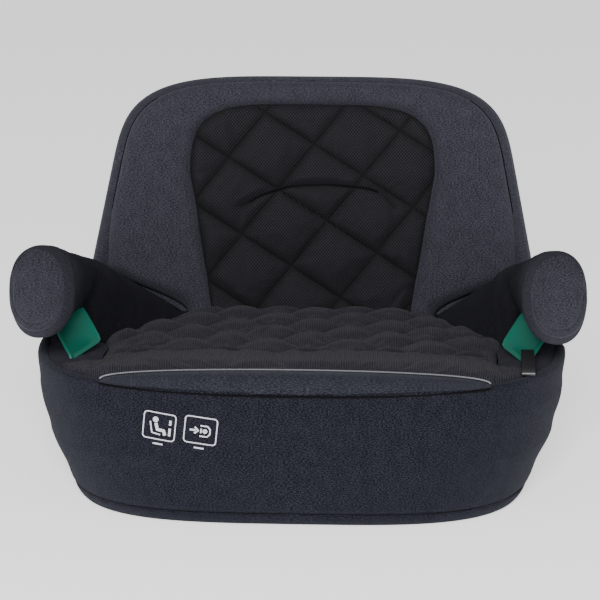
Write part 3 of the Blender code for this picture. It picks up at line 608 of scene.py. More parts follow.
for side, tag in ((-1, "left"), (1, "right")):
    sleeve = lay_cloth(f"armrest_sleeve_{tag}_cloth", 96, 150, lambda u, v: arm_face(side, u, v), cut=(0.21, 0.27))
    pick(sleeve)
    bpy.ops.object.mode_set(mode="EDIT")
    bpy.ops.mesh.select_all(action="SELECT")
    bpy.ops.mesh.remove_doubles(threshold=0.00002)
    bpy.ops.mesh.normals_make_consistent(inside=False)
    bpy.ops.object.mode_set(mode="OBJECT")
    pad_out(sleeve, arm_shape)
    # Painted shade: the inner side of the sleeve, back from the end panel, is stored as darkening for the arm cloth,
    # standing for the shadow it lies in.
    u, v = uv_of(sleeve)
    inward = smooth_step(-np.cos(math.tau * u), -0.90, -0.10)
    store_point_share(sleeve, (1 - smooth_step(v, 0.78, 0.92)) * inward * 0.86)
    round_off = sleeve.modifiers.new("round_off", "SMOOTH")
    round_off.factor = 0.5
    round_off.iterations = 5
    sew(sleeve, "seat", arm_cloth, "heather_fabric", f"armrest_sleeve_{tag}", f"armrest_core_{tag}", wall=0.0022)

    # The end panel: a crowned disc with a welt and a pressed ring.
    def panel_face(u, v):
        ring = arm_face(side, u, np.full_like(u, 0.972))
        centre = arm_face(side, np.linspace(0, 1, 64, endpoint=False), np.full(64, 0.972)).mean(0)
        out = np.array((side * 0.10, -0.95, 0.28))
        out /= np.linalg.norm(out)
        r = v
        crown = 0.0070 * (1 - r**2.2) + 0.0045 * (1 - r**8) + 0.0012 * bump_near(r, 0.95, 0.030)
        ring_fold = -0.0015 * bump_near(r, 0.80, 0.030) * smooth_step(-np.sin(math.tau * u - 0.5), -0.2, 0.8)
        puff = 0.0004 * np.sin(7 * math.tau * u + 5 * r) * r
        return centre + (ring - centre) * (r * 0.985)[:, None] + out * (crown + ring_fold + puff)[:, None]

    end_panel = lay_cloth(f"armrest_cap_{tag}_cloth", 96, 40, panel_face)
    flat_uv(end_panel, points_of(end_panel.data)[:, 0], points_of(end_panel.data)[:, 2])
    close_up(end_panel)
    face_front(end_panel)
    sew(end_panel, "seat", end_cloth, "heather_fabric", f"armrest_cap_{tag}", wall=0.0022)


    # The cloth that turns in over the rim and floors the belt notch.
    def notch_face(u, v):
        y = -0.138 + 0.096 * u
        half = np.interp(0.1075, base_levels[:, 0], base_levels[:, 1])
        ahead = np.clip((base_mid - y) / 0.1585, 0, 1)
        rim = half * (1 - ahead**2.9) ** (1 / 2.9) - 0.0016
        x = 0.1560 + (rim - 0.1560) * v
        crease = -0.0012 * bump_near(u - 0.35 * v, 0.42, 0.05)
        dip = np.minimum(0.0, 0.119 - (y + 0.1745) * 0.095 - 0.1116) * (1 - v) - 0.0030 * (1 - v) ** 2
        return np.stack([side * x, y, 0.1076 + 0.0010 * np.sin(math.pi * v) + crease + dip], 1)

    notch = lay_cloth(f"notch_floor_{tag}_cloth", 48, 24, notch_face, cut=(0.096, 0.048))
    if notch.data.polygons[0].normal.z < 0:
        notch.data.flip_normals()
    sew(notch, "seat", arm_cloth, "heather_fabric", f"side_panel_{tag}", wall=0.0012)


# ------------------------------------------------------------------ belt guides
# Glossy emerald throats clipped under each horn, where the lap belt slides.
# Moulded, with a raised lip on both sides and rounded edges.


def plastic_group():
    """Moulded plastic: faint flow marks with paler rubbed patches in the colour, and fine spark-eroded grain."""
    group, kit, given, result = new_group("moulded_plastic", {
        "Body": (0.02, 0.02, 0.02), "Rubbed": (0.05, 0.05, 0.05), "Grain size": 1400.0, "Base roughness": 0.5})
    place = kit.add("ShaderNodeTexCoord").outputs["Object"]
    grain = kit.add("ShaderNodeTexNoise", {"Detail": 2.0, "Scale": given[2], "Vector": place})
    flow = kit.add("ShaderNodeTexNoise", {"Scale": 28.0, "Detail": 3.0, "Distortion": 0.6, "Vector": place})
    rub = kit.add("ShaderNodeMapRange", {
        "From Min": 0.52, "From Max": 0.78, "Value": flow.outputs[0]}, interpolation_type="SMOOTHSTEP")
    kit.join(kit.mix(kit.sum("MULTIPLY", rub.outputs[0], 0.6), given[0], given[1]), result[0])
    vary = kit.sum("MULTIPLY", kit.sum("SUBTRACT", flow.outputs[0], 0.5), 0.22)
    kit.join(kit.sum("ADD", given[3], vary, clamp=True), result[1])
    kit.join(grain.outputs[0], result[2])
    return group


PLASTIC = plastic_group()


def plastic_material(name, body, rubbed, roughness, grain=1400.0, depth=0.00003, coat=0.0):
    made, kit, shader = new_material(name)
    mould = kit.add("ShaderNodeGroup", {
        "Body": body, "Rubbed": rubbed, "Grain size": grain, "Base roughness": roughness}, node_tree=PLASTIC)
    bump = kit.add("ShaderNodeBump", {"Strength": 0.6, "Distance": depth, "Height": mould.outputs["Height"]})
    kit.fill(shader, {
        "Base Color": mould.outputs["Color"], "Roughness": mould.outputs["Roughness"], "Normal": bump.outputs[0],
        "Coat Weight": coat, "Coat Roughness": 0.08})
    return made


emerald = plastic_material("emerald_plastic", (0.0, 0.100, 0.068), (0.0, 0.135, 0.095), 0.34, 900.0, 0.00001, 0.12)
guide_corners = np.array((
    # the upper inner and outer corners, then the lower inner and outer ones
    (0.1765, -0.0600, 0.1370), (0.1950, -0.0800, 0.1262), (0.1590, -0.0780, 0.1142), (0.1775, -0.1125, 0.1086)))


def guide_face(side, across, down):
    share = np.stack([(1 - across) * (1 - down), across * (1 - down), (1 - across) * down, across * down], 1)
    point = share @ guide_corners
    scoop = -0.0040 * np.sin(math.pi * down) * np.sin(math.pi * across) ** 0.5
    lip = 0.0016 * smooth_step(np.abs(2 * across - 1), 0.82, 1.0)
    roll = -0.0016 * smooth_step(down, 0.92, 1.0)
    return np.stack([side * point[:, 0], point[:, 1], point[:, 2] + scoop + lip + roll], 1)


for side, tag in ((-1, "left"), (1, "right")):
    guide = lay_cloth(f"belt_guide_{tag}_moulding", 28, 32, lambda u, v: guide_face(side, u, v), cut=(0.035, 0.045))
    if guide.data.polygons[0].normal.z < 0:
        guide.data.flip_normals()
    wall = guide.modifiers.new("wall", "SOLIDIFY")
    wall.thickness = 0.0024
    wall.offset = -1.0
    round_edge = guide.modifiers.new("round_edge", "BEVEL")
    round_edge.width = 0.0006
    round_edge.segments = 3
    round_edge.angle_limit = math.radians(50)
    sew(guide, "seat", emerald, "green_plastic", f"belt_guide_{tag}")


# ------------------------------------------------------------------ seat cushion
# Rib-knit cloth quilted on thin wadding in lozenges, with a plain band along
# its front edge, stretched over the foam block.

seat_front, seat_rear = -0.1745, 0.1040
seat_colour = {"Dark yarn": (0.0034, 0.0031, 0.0054), "Pale yarn": (0.036, 0.0335, 0.047), "Pale share": 0.46}


def rib_group():
    """Fine rib knit: narrow wales across the seat with stitches along them."""
    group, kit, given, result = new_group("rib_knit", {
        "Dark yarn": (0.02, 0.02, 0.02), "Pale yarn": (0.06, 0.06, 0.06), "Ribs per metre": 560.0,
        "Pale share": 0.5})
    uv = kit.add("ShaderNodeUVMap", uv_map="UVMap").outputs[0]
    wander = kit.add("ShaderNodeTexNoise", {"Scale": 60.0, "Vector": uv}, noise_dimensions="2D")
    axes = kit.add("ShaderNodeSeparateXYZ", {0: uv})
    along = kit.sum("ADD", axes.outputs[0], kit.sum("MULTIPLY", wander.outputs[0], 0.0006))
    turn = kit.sum("MULTIPLY", kit.sum("MULTIPLY", along, given[2]), math.tau)
    rib = kit.sum("MULTIPLY", kit.sum("ADD", kit.sum("SINE", turn), 1.0), 0.5)
    loop = kit.sum("SINE", kit.sum("MULTIPLY", kit.sum("MULTIPLY", axes.outputs[1], given[2]), math.tau * 1.3))
    fleck = kit.add("ShaderNodeTexNoise", {"Scale": 700.0, "Detail": 3.0, "Vector": uv}, noise_dimensions="2D")
    mixed = kit.sum("ADD", kit.sum("MULTIPLY", rib, 0.55), kit.sum("MULTIPLY", loop, 0.10))
    mixed = kit.sum("ADD", mixed, kit.sum("MULTIPLY", kit.sum("SUBTRACT", fleck.outputs[0], 0.5), 1.3))
    share = kit.sum("ADD", mixed, kit.sum("SUBTRACT", given[3], 0.3), clamp=True)
    kit.join(kit.mix(share, given[0], given[1]), result[0])
    kit.join(kit.sum("ADD", kit.sum("MULTIPLY", fleck.outputs[0], 0.15), 0.8), result[1])
    height = kit.sum("ADD", rib, kit.sum("MULTIPLY", loop, 0.25))
    kit.join(kit.sum("ADD", height, kit.sum("MULTIPLY", fleck.outputs[0], 0.3)), result[2])
    return group


RIB = rib_group()
knit_cloth = cloth_material("seat_rib_knit", RIB, seat_colour, depth=0.0005, sheen=0.06,
                            sheen_tint=(0.7, 0.68, 0.72), press_and_shade=0.75,
                            families=((0.93, 0.011, 0.060), (-0.93, 0.021, 0.060)))


def seat_half(y):
    """Half width of the cushion: between the armrests, then out to the rim."""
    between_arms = np.interp(-y, -arm_rows[:7, 0], arm_rows[:7, 2]) + 0.0035
    rim = np.interp(0.108, base_levels[:, 0], base_levels[:, 1]) - 0.0075
    depth = 0.1585 - 0.0075
    ahead = np.clip((base_mid - y) / depth, 0, 1)
    corner = rim * np.maximum(0.0, 1 - ahead**2.9) ** (1 / 2.9)
    narrow = np.minimum(between_arms, 0.1620 - 0.0060 * smooth_step(-y, 0.030, 0.060))
    return narrow + (corner - narrow) * smooth_step(-y, 0.1190, 0.1320)


def seat_height(y):
    return 0.119 - (y - seat_front) * 0.095


def quilting(a, b, period, depth, sharp=0.5, other=None, lean=1.0):
    """Puffed cells between two families of stitched lines, one per period; lean makes one side steeper."""
    share = (a / period) % 1.0
    puff = np.abs(np.sin(math.pi * share**lean) * np.sin(math.pi * b / (other or period)))
    return depth * puff**sharp


def sewn_gap(value, period, slope=1.367):
    """Distance to the nearest sewn line of one family."""
    return np.abs((value / period + 0.5) % 1.0 - 0.5) * period / slope


def seat_face(u, v):
    s = 2 * u - 1
    y = seat_rear + (seat_front + 0.0005 - seat_rear) * v
    half = seat_half(y)
    roll_from, radius = 0.955, 0.0060
    turn = np.clip((np.abs(s) - roll_from) / (1 - roll_from), 0, 1) * math.radians(95)
    flat = np.clip(np.abs(s) / roll_from, 0, 1)
    x = np.sign(s) * (flat * (half - radius) + radius * np.sin(turn))
    dish = 0.0040 * (np.abs(x) / half) ** 4
    z = seat_height(y) - dish - radius * (1 - np.cos(turn))
    front = np.clip((v - 0.975) / 0.025, 0, 1)
    z = z - 0.0060 * front**2.2
    back = np.clip((0.03 - v) / 0.03, 0, 1)
    z = z - 0.0040 * back**2
    return np.stack([x, y, z], 1)


def seat_shape(u, v):
    flat = seat_face(u, v)
    x, y = flat[:, 0], flat[:, 1]
    puffs = quilting(y + 0.93 * x + 0.011, y - 0.93 * x + 0.021, 0.060, 0.0070, 0.62, lean=1.35)
    edge = 1 - smooth_step(np.abs(2 * u - 1), 0.90, 0.98)
    quilted = smooth_step(v, 0.0, 0.03) * (1 - smooth_step(-y, 0.094, 0.101))
    band = smooth_step(-y, 0.097, 0.112) * (1 - smooth_step(-y, 0.160, 0.174))
    end_seam = -0.0012 * bump_near(y, -0.0985, 0.0022)
    slack = 0.0004 * np.sin(45 * x + 60 * y) * np.sin(90 * y)
    return (puffs - 0.0024) * quilted * edge + 0.0020 * band * edge + end_seam * edge + slack


seat = lay_cloth("seat_cushion_cloth", 120, 96, seat_face, cut=(0.36, 0.30))
laid = points_of(seat.data)
flat_uv(seat, laid[:, 0], laid[:, 1])
face_up(seat)
pad_out(seat, seat_shape)
u, v = uv_of(seat)
seams = np.minimum(sewn_gap(laid[:, 1] + 0.93 * laid[:, 0] + 0.011, 0.060),
                   sewn_gap(laid[:, 1] - 0.93 * laid[:, 0] + 0.021, 0.060))
quilted = (1 - smooth_step(-laid[:, 1], 0.094, 0.101)) * (1 - smooth_step(np.abs(2 * u - 1), 0.94, 0.99))
held = np.maximum(bump_near(seams, 0.0, 0.0024) * quilted, np.maximum(bump_near(laid[:, 1], -0.0985, 0.0024),
                  smooth_step(np.maximum(np.abs(2 * u - 1), np.abs(2 * v - 1)), 0.955, 0.975)))
store_point_share(seat, quilted, "quilted")
# Darker along the stitched lines and the band's seam: partly denser pressed cloth and partly painted shade in the
# grooves.
store_point_share(seat, np.maximum(bump_near(seams, 0.0, 0.0036) * quilted * 0.75,
                            bump_near(laid[:, 1], -0.0985, 0.0014) * 0.8))
refine(swell(seat, held, 4.0, 0.030, 0.0030))
sew(seat, "seat", knit_cloth, "rib_knit", "seat_cover", wall=0.0020)


# ------------------------------------------------------------------ front lip
# A padded lens of heather cloth let in between the seat and the apron, with
# pale piping sewn along its upper edge and a sunk seam along the lower one,
# whose near-black cord is partly the seam and partly painted shadow in its groove.

lip_half = 0.1475
lip_cloth = cloth_material("lip_heather", HEATHER, {
    "Dark yarn": (0.0040, 0.0044, 0.0076), "Pale yarn": (0.031, 0.033, 0.047), "Pale share": 0.43})


def lip_edges(x):
    """The lower seam and the piping line of the lip at x."""
    share = np.maximum(0.0, 1 - (x / lip_half) ** 2) ** 0.4
    seam_y = -0.1985 + 0.0215 * (np.abs(x) / lip_half) ** 2.6 + 0.0004
    seam = np.stack([x, seam_y, 0.1080 - 0.0022 * share], 1)
    piping = np.stack([x, -0.1778 + 0.0014 * (x / lip_half) ** 2, 0.1090 + 0.0100 * share], 1)
    return seam, piping, share


def lip_face(u, v):
    x = lip_half * np.sin((2 * u - 1) * math.radians(88))
    seam, piping, share = lip_edges(x)
    point = seam + (piping - seam) * v[:, None]
    out = np.array((0.0, -0.50, 0.86)) / np.linalg.norm((0.0, -0.50, 0.86))
    full = 0.0092 * share * np.sin(math.pi * v) ** 0.75
    pucker = 0.00035 * share * np.sin(95 * x * 2) * bump_near(v, 0.08, 0.10)
    return point + out * (full + pucker)[:, None]


lip = lay_cloth("front_lip_cloth", 240, 36, lip_face, cut=(0.30, 0.026))
face_up(lip)
sew(lip, "seat", lip_cloth, "heather_fabric", "front_lip", wall=0.0018)


def cord_piece(name, route, radius, cloth, slot, *stands_for, closed=False):
    """A round cord sewn along a seam, made as a bevelled curve and turned into a mesh."""
    curve = bpy.data.curves.new(name, "CURVE")
    curve.dimensions = "3D"
    curve.bevel_depth = radius
    curve.bevel_resolution = 3
    curve.use_fill_caps = True
    line = curve.splines.new("POLY")
    line.points.add(len(route) - 1)
    line.use_cyclic_u = closed
    for point, where in zip(line.points, route):
        point.co = (*where, 1.0)
    obj = bpy.data.objects.new(name, curve)
    bpy.context.scene.collection.objects.link(obj)
    pick(obj)
    bpy.ops.object.convert(target="MESH")
    obj = bpy.context.object
    obj.name = name
    return sew(obj, "seat", cloth, slot, *stands_for)


def thread_material(name, colour, roughness=0.7):
    """Twisted yarn: a fine diagonal twist in the colour and the height."""
    made, kit, shader = new_material(name)
    place = kit.add("ShaderNodeTexCoord").outputs["Object"]
    twist = kit.add("ShaderNodeTexWave", {
        "Scale": 420.0, "Distortion": 1.5, "Vector": place}, bands_direction="DIAGONAL")
    dark = tuple(channel * 0.62 for channel in colour)
    kit.fill(shader, {"Base Color": kit.mix(twist.outputs[1], dark, colour)})
    bump = kit.add("ShaderNodeBump", {"Distance": 0.0003, "Strength": 0.7, "Height": twist.outputs[1]})
    kit.fill(shader, {"Normal": bump.outputs[0], "Roughness": roughness, "Specular IOR Level": 0.1})
    return made


piping_thread = thread_material("piping_yarn", (0.22, 0.225, 0.245))
# Near-black seam cord: partly thread and welt, partly painted shadow in the seam grooves.
dark_thread_and_shadow = thread_material("seam_thread_and_shadow", (0.004, 0.004, 0.005), 0.95)
run = lip_half * np.sin(np.linspace(-1, 1, 160) * math.radians(88))
piping_line = lip_edges(run)[1] + np.array((0.0, -0.0010, 0.0022))
cord_piece("lip_piping_cord", piping_line, 0.00062, piping_thread, "piping", "lip_piping")
cord_piece("lip_seam_welt", lip_edges(run)[0] + np.array((0.0, -0.0012, 0.0004)), 0.0009,
           dark_thread_and_shadow, "piping", "front_lip")


# ------------------------------------------------------------------ back surround
# The padded front of the low backrest: heather cloth over soft foam, sewn to
# the mesh panel in a sunk seam, with wings that overhang the armrests.

back_foot = (0.112, 0.088)
back_lean = math.radians(13.0)
back_curve = 0.40


def on_back(x, w, depth):
    """A point at x across and w up the backrest's face, depth behind it."""
    deep = depth - back_curve * x**2
    y = back_foot[0] + deep * math.cos(back_lean) + w * math.sin(back_lean)
    z = back_foot[1] - deep * math.sin(back_lean) + w * math.cos(back_lean)
    return np.stack([x, y, z], 1)


def outline(half_at, low, corner, top):
    """A closed outline in x and w: the foot, the sides and the squared upper corners."""
    rise = np.linspace(low, corner, 80)
    turn = np.radians(np.linspace(0, 90, 200))[1:]
    w = np.concatenate([rise, corner + (top - corner) * np.sin(turn) ** 0.5])
    x = half_at(w) * np.concatenate([np.ones(80), np.abs(np.cos(turn)) ** 0.5])
    foot = np.linspace(-x[0], x[0], 60)[1:-1]
    return np.concatenate([np.stack([foot, foot * 0 + low], 1), np.stack([x, w], 1),
                           np.stack([-x[::-1], w[::-1]], 1)])


back_middle = np.array((0.0, 0.085))


def reach(shape):
    """How far a closed outline lies from the middle of the back, by angle."""
    away = shape - back_middle
    angle = np.arctan2(away[:, 1], away[:, 0])
    order = np.argsort(angle)
    return lambda turn: np.interp(turn, angle[order], np.linalg.norm(away, axis=1)[order], period=math.tau)


def wing_half(w):
    return np.minimum(0.108 + 0.070 * smooth_step(w, -0.003, 0.039), 0.1905 - 0.195 * w)


def panel_half(w):
    return 0.089 + 0.020 * np.minimum(1.0, w / 0.12)


wing_reach = reach(outline(wing_half, -0.010, 0.120, 0.1990))
panel_reach = reach(outline(panel_half, -0.012, 0.105, 0.1822))


def around(u):
    return math.tau * u - math.pi / 2


def surround_place(u, v):
    turn = around(u)
    spread = 0.5 - 0.5 * np.cos(math.pi * v)
    inner, outer = panel_reach(turn) - 0.0030, wing_reach(turn)
    far = inner + np.maximum(outer - inner, 0.001) * spread
    return turn, far, inner, outer


def surround_face(u, v):
    turn, far, inner, outer = surround_place(u, v)
    x, w = back_middle[0] + far * np.cos(turn), back_middle[1] + far * np.sin(turn)
    width = outer - inner
    low = 1 - smooth_step(w, 0.055, 0.100)
    roll = np.clip(1 - (outer - far) / (0.0075 + 0.0065 * low), 0, 1)
    edge = (0.0085 + 0.0110 * low) * (1 - np.sqrt(1 - roll**2))
    tuck = np.clip(1 - (far - inner) / 0.0085, 0, 1)
    groove = 0.0085 * (1 - np.sqrt(1 - tuck**2))
    full = -0.0042 * np.sin(math.pi * np.clip((far - inner) / width, 0, 1)) ** 0.8 * smooth_step(width, 0.010, 0.050)
    wrinkle = 0.0006 * np.sin(70 * x + 40 * w) * np.sin(50 * w - 20 * x) * low
    return on_back(x, w, -0.0008 + edge + groove + full + wrinkle)


surround = lay_cloth("back_surround_cloth", 400, 40, surround_face)
u, v = uv_of(surround)
turn, far, _, _ = surround_place(u, v)
flat_uv(surround, far * np.cos(turn), far * np.sin(turn))
close_up(face_front(surround))
sew(surround, "seat", back_cloth, "heather_fabric", "back_cover", wall=0.0020)


# The cloth that runs on below the wings, behind the armrests.
def underlay_face(u, v):
    w = -0.008 + 0.090 * v
    x = (2 * u - 1) * (0.1935 - 0.188 * w)
    return on_back(x, w, 0.0186 - 0.0016 * np.sin(math.pi * u) + 0.0120 * smooth_step(np.abs(2 * u - 1), 0.97, 1.0))


underlay = lay_cloth("back_underlay_cloth", 90, 24, underlay_face, cut=(0.38, 0.09))
sew(face_front(underlay), "seat", back_cloth, "heather_fabric", "back_cover", wall=0.0012)


# The gusset: a band of the same cloth round the sides and top, back to the shell.
gusset_depths = np.array((0.0125, 0.0078, 0.0112, 0.0230, 0.0360, 0.0432))
gusset_insets = np.array((0.0190, 0.0088, 0.0026, 0.0, 0.0009, 0.0030))


def gusset_face(u, v):
    side = np.sign(u - 0.5)
    run = np.abs(2 * u - 1)
    deep = np.interp(v, np.linspace(0, 1, 6), gusset_depths)
    inset = np.interp(v, np.linspace(0, 1, 6), gusset_insets)
    turn = np.clip(0.62 - run, 0, 0.62) / 0.62 * math.pi / 2
    top, corner = 0.2050 - 0.7 * inset, 0.120
    w = np.where(run > 0.62, corner + (0.018 - corner) * (run - 0.62) / 0.38,
                 corner + (top - corner) * np.sin(turn) ** 0.5)
    x = side * (0.2005 - 0.195 * w - inset) * np.where(run > 0.62, 1.0, np.abs(np.cos(turn)) ** 0.5)
    return on_back(x, w, deep)


gusset = lay_cloth("back_gusset_cloth", 420, 20, gusset_face, cut=(0.66, 0.041))
middle = min(gusset.data.polygons, key=lambda face: abs(face.center.x) - face.center.z)
if middle.normal.z < 0:
    gusset.data.flip_normals()
round_off = gusset.modifiers.new("round_off", "SMOOTH")
round_off.iterations = 4
sew(gusset, "seat", back_cloth, "heather_fabric", "back_gusset", wall=0.0016)

# A dark welt marks the seam between the surround and the gusset down each side; its near-black cord is partly the welt
# and partly painted shadow along the seam.
for tag, start, end in (("right", -40, 36), ("left", 144, 220)):
    seam_turn = np.radians(np.linspace(start, end, 110))
    seam_far = wing_reach(seam_turn) + 0.0002
    seam_w = back_middle[1] + seam_far * np.sin(seam_turn)
    seam_low = 1 - smooth_step(seam_w, 0.055, 0.100)
    seam_sunk = 0.0014 * smooth_step(seam_w, 0.145, 0.172)
    route = on_back(seam_far * np.cos(seam_turn), seam_w, 0.0070 + 0.0105 * seam_low + seam_sunk)
    cord_piece(f"back_seam_welt_{tag}", route, 0.00065, dark_thread_and_shadow, "piping", "back_cover")


# ------------------------------------------------------------------ mesh panel
# Black three-dimensional spacer mesh, quilted through its foam in slanting
# squares with an arch sewn across the middle, and sunk into the surround.


def mesh_material():
    made, kit, shader = new_material("spacer_mesh")
    axes = kit.add("ShaderNodeSeparateXYZ", {0: kit.add("ShaderNodeUVMap", uv_map="UVMap").outputs[0]})
    over = kit.sum("COSINE", kit.sum("MULTIPLY", axes.outputs[0], math.tau / 0.0026))
    up = kit.sum("COSINE", kit.sum("MULTIPLY", axes.outputs[1], math.tau / 0.0031))
    cell = kit.sum("MULTIPLY", over, up)
    hole = kit.add("ShaderNodeMapRange", {
        "From Min": -0.30, "From Max": 0.30, "Value": cell}, interpolation_type="SMOOTHSTEP")
    yarn = kit.add("ShaderNodeTexNoise", {
        "Scale": 900.0, "Detail": 2.0, "Vector": kit.add("ShaderNodeUVMap", uv_map="UVMap").outputs[0]},
        noise_dimensions="2D")
    thread = kit.mix(yarn.outputs[0], (0.0058, 0.0054, 0.0080), (0.031, 0.0285, 0.0385))
    # The mesh darkens by its point attribute: partly denser pressed mesh, partly painted shade in the stitched grooves
    # and at the rim.
    cloth = darken_by_press_and_shade(kit, kit.mix(hole.outputs[0], thread, (0.0008, 0.0008, 0.0012)), 0.95)
    kit.fill(shader, {
        "Base Color": darken_stitches_and_groove_shade(kit, cloth, ((0.63, -0.028, 0.059), (-1.27, -0.062, 0.082)), 1.0),
        "Roughness": kit.sum("ADD", kit.sum("MULTIPLY", yarn.outputs[0], 0.2), 0.62)})
    bump = kit.add("ShaderNodeBump", {"Strength": 0.9, "Distance": 0.0007, "Height": hole.outputs[0]}, invert=True)
    kit.fill(shader, {"Normal": bump.outputs[0], "Sheen Weight": 0.05, "Specular IOR Level": 0.15})
    return made


spacer_mesh = mesh_material()
arch_stitch = np.array(((-0.062, 0.020), (-0.061, 0.090), (-0.045, 0.100), (-0.021, 0.108), (0.014, 0.110),
                        (0.049, 0.107), (0.062, 0.102), (0.071, 0.091), (0.075, 0.030)))


def from_line(x, w, line):
    """Distance of each point from a sewn line."""
    best = np.full(len(x), 9.0)
    for (x0, w0), (x1, w1) in zip(line[:-1], line[1:]):
        run = np.array((x1 - x0, w1 - w0))
        share = np.clip(((x - x0) * run[0] + (w - w0) * run[1]) / (run @ run), 0, 1)
        best = np.minimum(best, np.hypot(x - x0 - share * run[0], w - w0 - share * run[1]))
    return best


def panel_spots(u, v):
    turn = around(u)
    far = (panel_reach(turn) - 0.0012) * (1 - (1 - v) ** 1.25)
    return far * np.cos(turn), back_middle[1] + far * np.sin(turn), panel_reach(turn) - 0.0012 - far


def panel_face(u, v):
    x, w, rim = panel_spots(u, v)
    puff = quilting(w + 0.63 * x - 0.028, w - 1.27 * x - 0.062, 0.059, 1.0, 0.5, 0.082, 0.72)
    puff *= 1 - 0.95 * bump_near(from_line(x, w, arch_stitch[1:-1]), 0.0, 0.0034)
    puff *= 1 - 0.30 * bump_near(from_line(x, w, arch_stitch), 0.0, 0.0036)
    puff *= 1 - 0.40 * smooth_step(x + w, 0.10, 0.19)
    edge = np.sqrt(np.clip(rim / 0.012, 0, 1))
    return on_back(x, w, 0.0085 - 0.0040 * edge - 0.0085 * puff * edge)


panel = lay_cloth("back_panel_cloth", 220, 52, panel_face)
u, v = uv_of(panel)
x, w, rim = panel_spots(u, v)
flat_uv(panel, x, w)
seams = np.minimum(sewn_gap(w + 0.63 * x - 0.028, 0.059, 1.182), sewn_gap(w - 1.27 * x - 0.062, 0.082, 1.616))
arch = from_line(x, w, arch_stitch[1:-1])
store_point_share(panel, smooth_step(rim, 0.001, 0.004), "quilted")
# Darker along the stitches, the arch and the sunk rim: partly denser pressed mesh and partly painted shade in those
# grooves.
store_point_share(panel, np.maximum(np.maximum(bump_near(seams, 0.0, 0.0038) * 0.7, bump_near(arch, 0.0, 0.0017)),
                             bump_near(rim, 0.0, 0.0040)))
held = np.maximum(np.maximum(bump_near(seams, 0.0, 0.0026), bump_near(arch, 0.0, 0.0026)), bump_near(rim, 0.0, 0.0030))
held_layer = panel.data.attributes.new("held", "FLOAT", "POINT")
held_layer.data.foreach_set("value", held.astype(np.float32))
close_up(face_front(panel))
held = np.empty(len(panel.data.vertices), np.float32)
panel.data.attributes["held"].data.foreach_get("value", held)
refine(swell(panel, held, 4.0, 0.035, 0.0040))
sew(panel, "seat", spacer_mesh, "mesh_fabric", "back_panel", wall=0.0024)


# The arch is top-stitched with dark thread that lies in its own groove; the thick near-black cord is partly that
# thread and partly painted shadow in the groove.
arch_run = np.concatenate([[0], np.cumsum(np.linalg.norm(np.diff(arch_stitch[1:-1], axis=0), axis=1))])
arch_route = np.stack([np.interp(np.linspace(0.001, arch_run[-1] - 0.013, 120), arch_run, arch_stitch[1:-1, k])
                       for k in (0, 1)], 1)
arch_route = np.stack([np.convolve(arch_route[:, k], np.ones(13) / 13, "valid") for k in (0, 1)], 1)
cord_piece("arch_stitch_thread", on_back(arch_route[:, 0], arch_route[:, 1], np.full(len(arch_route), 0.0040)),
           0.0010, dark_thread_and_shadow, "piping", "back_panel")

# The seam round the panel is a dark sunk welt; its near-black cord is partly the welt and partly painted shadow in the
# groove.
welt_turn = np.radians(np.linspace(-40, 220, 260))
welt_far = panel_reach(welt_turn) - 0.0010
welt_route = on_back(welt_far * np.cos(welt_turn), back_middle[1] + welt_far * np.sin(welt_turn), 0.0066)
cord_piece("panel_seam_welt", welt_route, 0.0014, dark_thread_and_shadow, "piping", "back_panel")


# ------------------------------------------------------------------ pull loop
# A folded loop of slick black webbing beside the right belt guide.

slick_black = plastic_material("slick_webbing", (0.012, 0.012, 0.014), (0.040, 0.040, 0.046),
                               0.42, 2400.0, 0.00008, 0.10)


def loop_face(u, v):
    turn = math.tau * v
    long, thick = 0.0170 * np.cos(turn), 0.0046 * np.sin(turn)
    y = -0.1345 - 0.955 * long - 0.295 * thick
    z = 0.1162 - 0.295 * long + 0.955 * thick
    return np.stack([0.1721 + 0.0100 * u, y, z], 1)


loop = lay_cloth("pull_loop_webbing", 10, 64, loop_face, cut=(0.0100, 0.0736))
close_up(loop)
sew(loop, "seat", slick_black, "black_plastic", "pull_loop", wall=0.0010)


# ------------------------------------------------------------------ printed marks
# Two pale screen-printed squares low on the apron with plain pictures in them:
# a seated figure, and an arrow into a buckle. Thin ink laid on the cloth.

ink = bpy.data.materials.new("pale_ink")
ink.use_nodes = True
kit = Nodes(ink.node_tree)
crazing = kit.add("ShaderNodeTexNoise", {"Scale": 900.0, "Vector": kit.add("ShaderNodeTexCoord").outputs["Object"]})
kit.join(kit.mix(crazing.outputs[0], (0.36, 0.37, 0.42), (0.70, 0.71, 0.76)),
         ink.node_tree.nodes["Principled BSDF"].inputs["Base Color"])
ink.node_tree.nodes["Principled BSDF"].inputs["Roughness"].default_value = 0.6


def rounded_square(half_wide, half_high, radius, count=7):
    corners = []
    for x, z, start in ((1, 1, 0), (-1, 1, 90), (-1, -1, 180), (1, -1, 270)):
        for k in range(count + 1):
            turn = math.radians(start + 90 * k / count)
            corners.append((x * (half_wide - radius) + radius * math.cos(turn),
                            z * (half_high - radius) + radius * math.sin(turn)))
    return corners + corners[:1]


def disc(x, z, radius, count=14):
    return [(x + radius * math.cos(math.tau * k / count), z + radius * math.sin(math.tau * k / count))
            for k in range(count + 1)]


def stroke(mesh, path, width, place):
    """A ribbon of ink along a path; its own points are spaced for the cloth's curve."""
    fine = []
    for (x0, z0), (x1, z1) in zip(path[:-1], path[1:]):
        steps = max(1, int(math.hypot(x1 - x0, z1 - z0) / 0.0012))
        fine += [(x0 + (x1 - x0) * k / steps, z0 + (z1 - z0) * k / steps) for k in range(steps)]
    fine.append(path[-1])
    fine = np.array(fine)
    run = np.gradient(fine, axis=0)
    if np.allclose(fine[0], fine[-1]):
        run[0] = run[-1] = fine[1] - fine[-2]
    run /= np.linalg.norm(run, axis=1)[:, None] + 1e-12
    aside = np.stack([-run[:, 1], run[:, 0]], 1) * width / 2
    left = [mesh.verts.new(place(*point)) for point in fine + aside]
    right = [mesh.verts.new(place(*point)) for point in fine - aside]
    for k in range(len(fine) - 1):
        mesh.faces.new((left[k], right[k], right[k + 1], left[k + 1]))


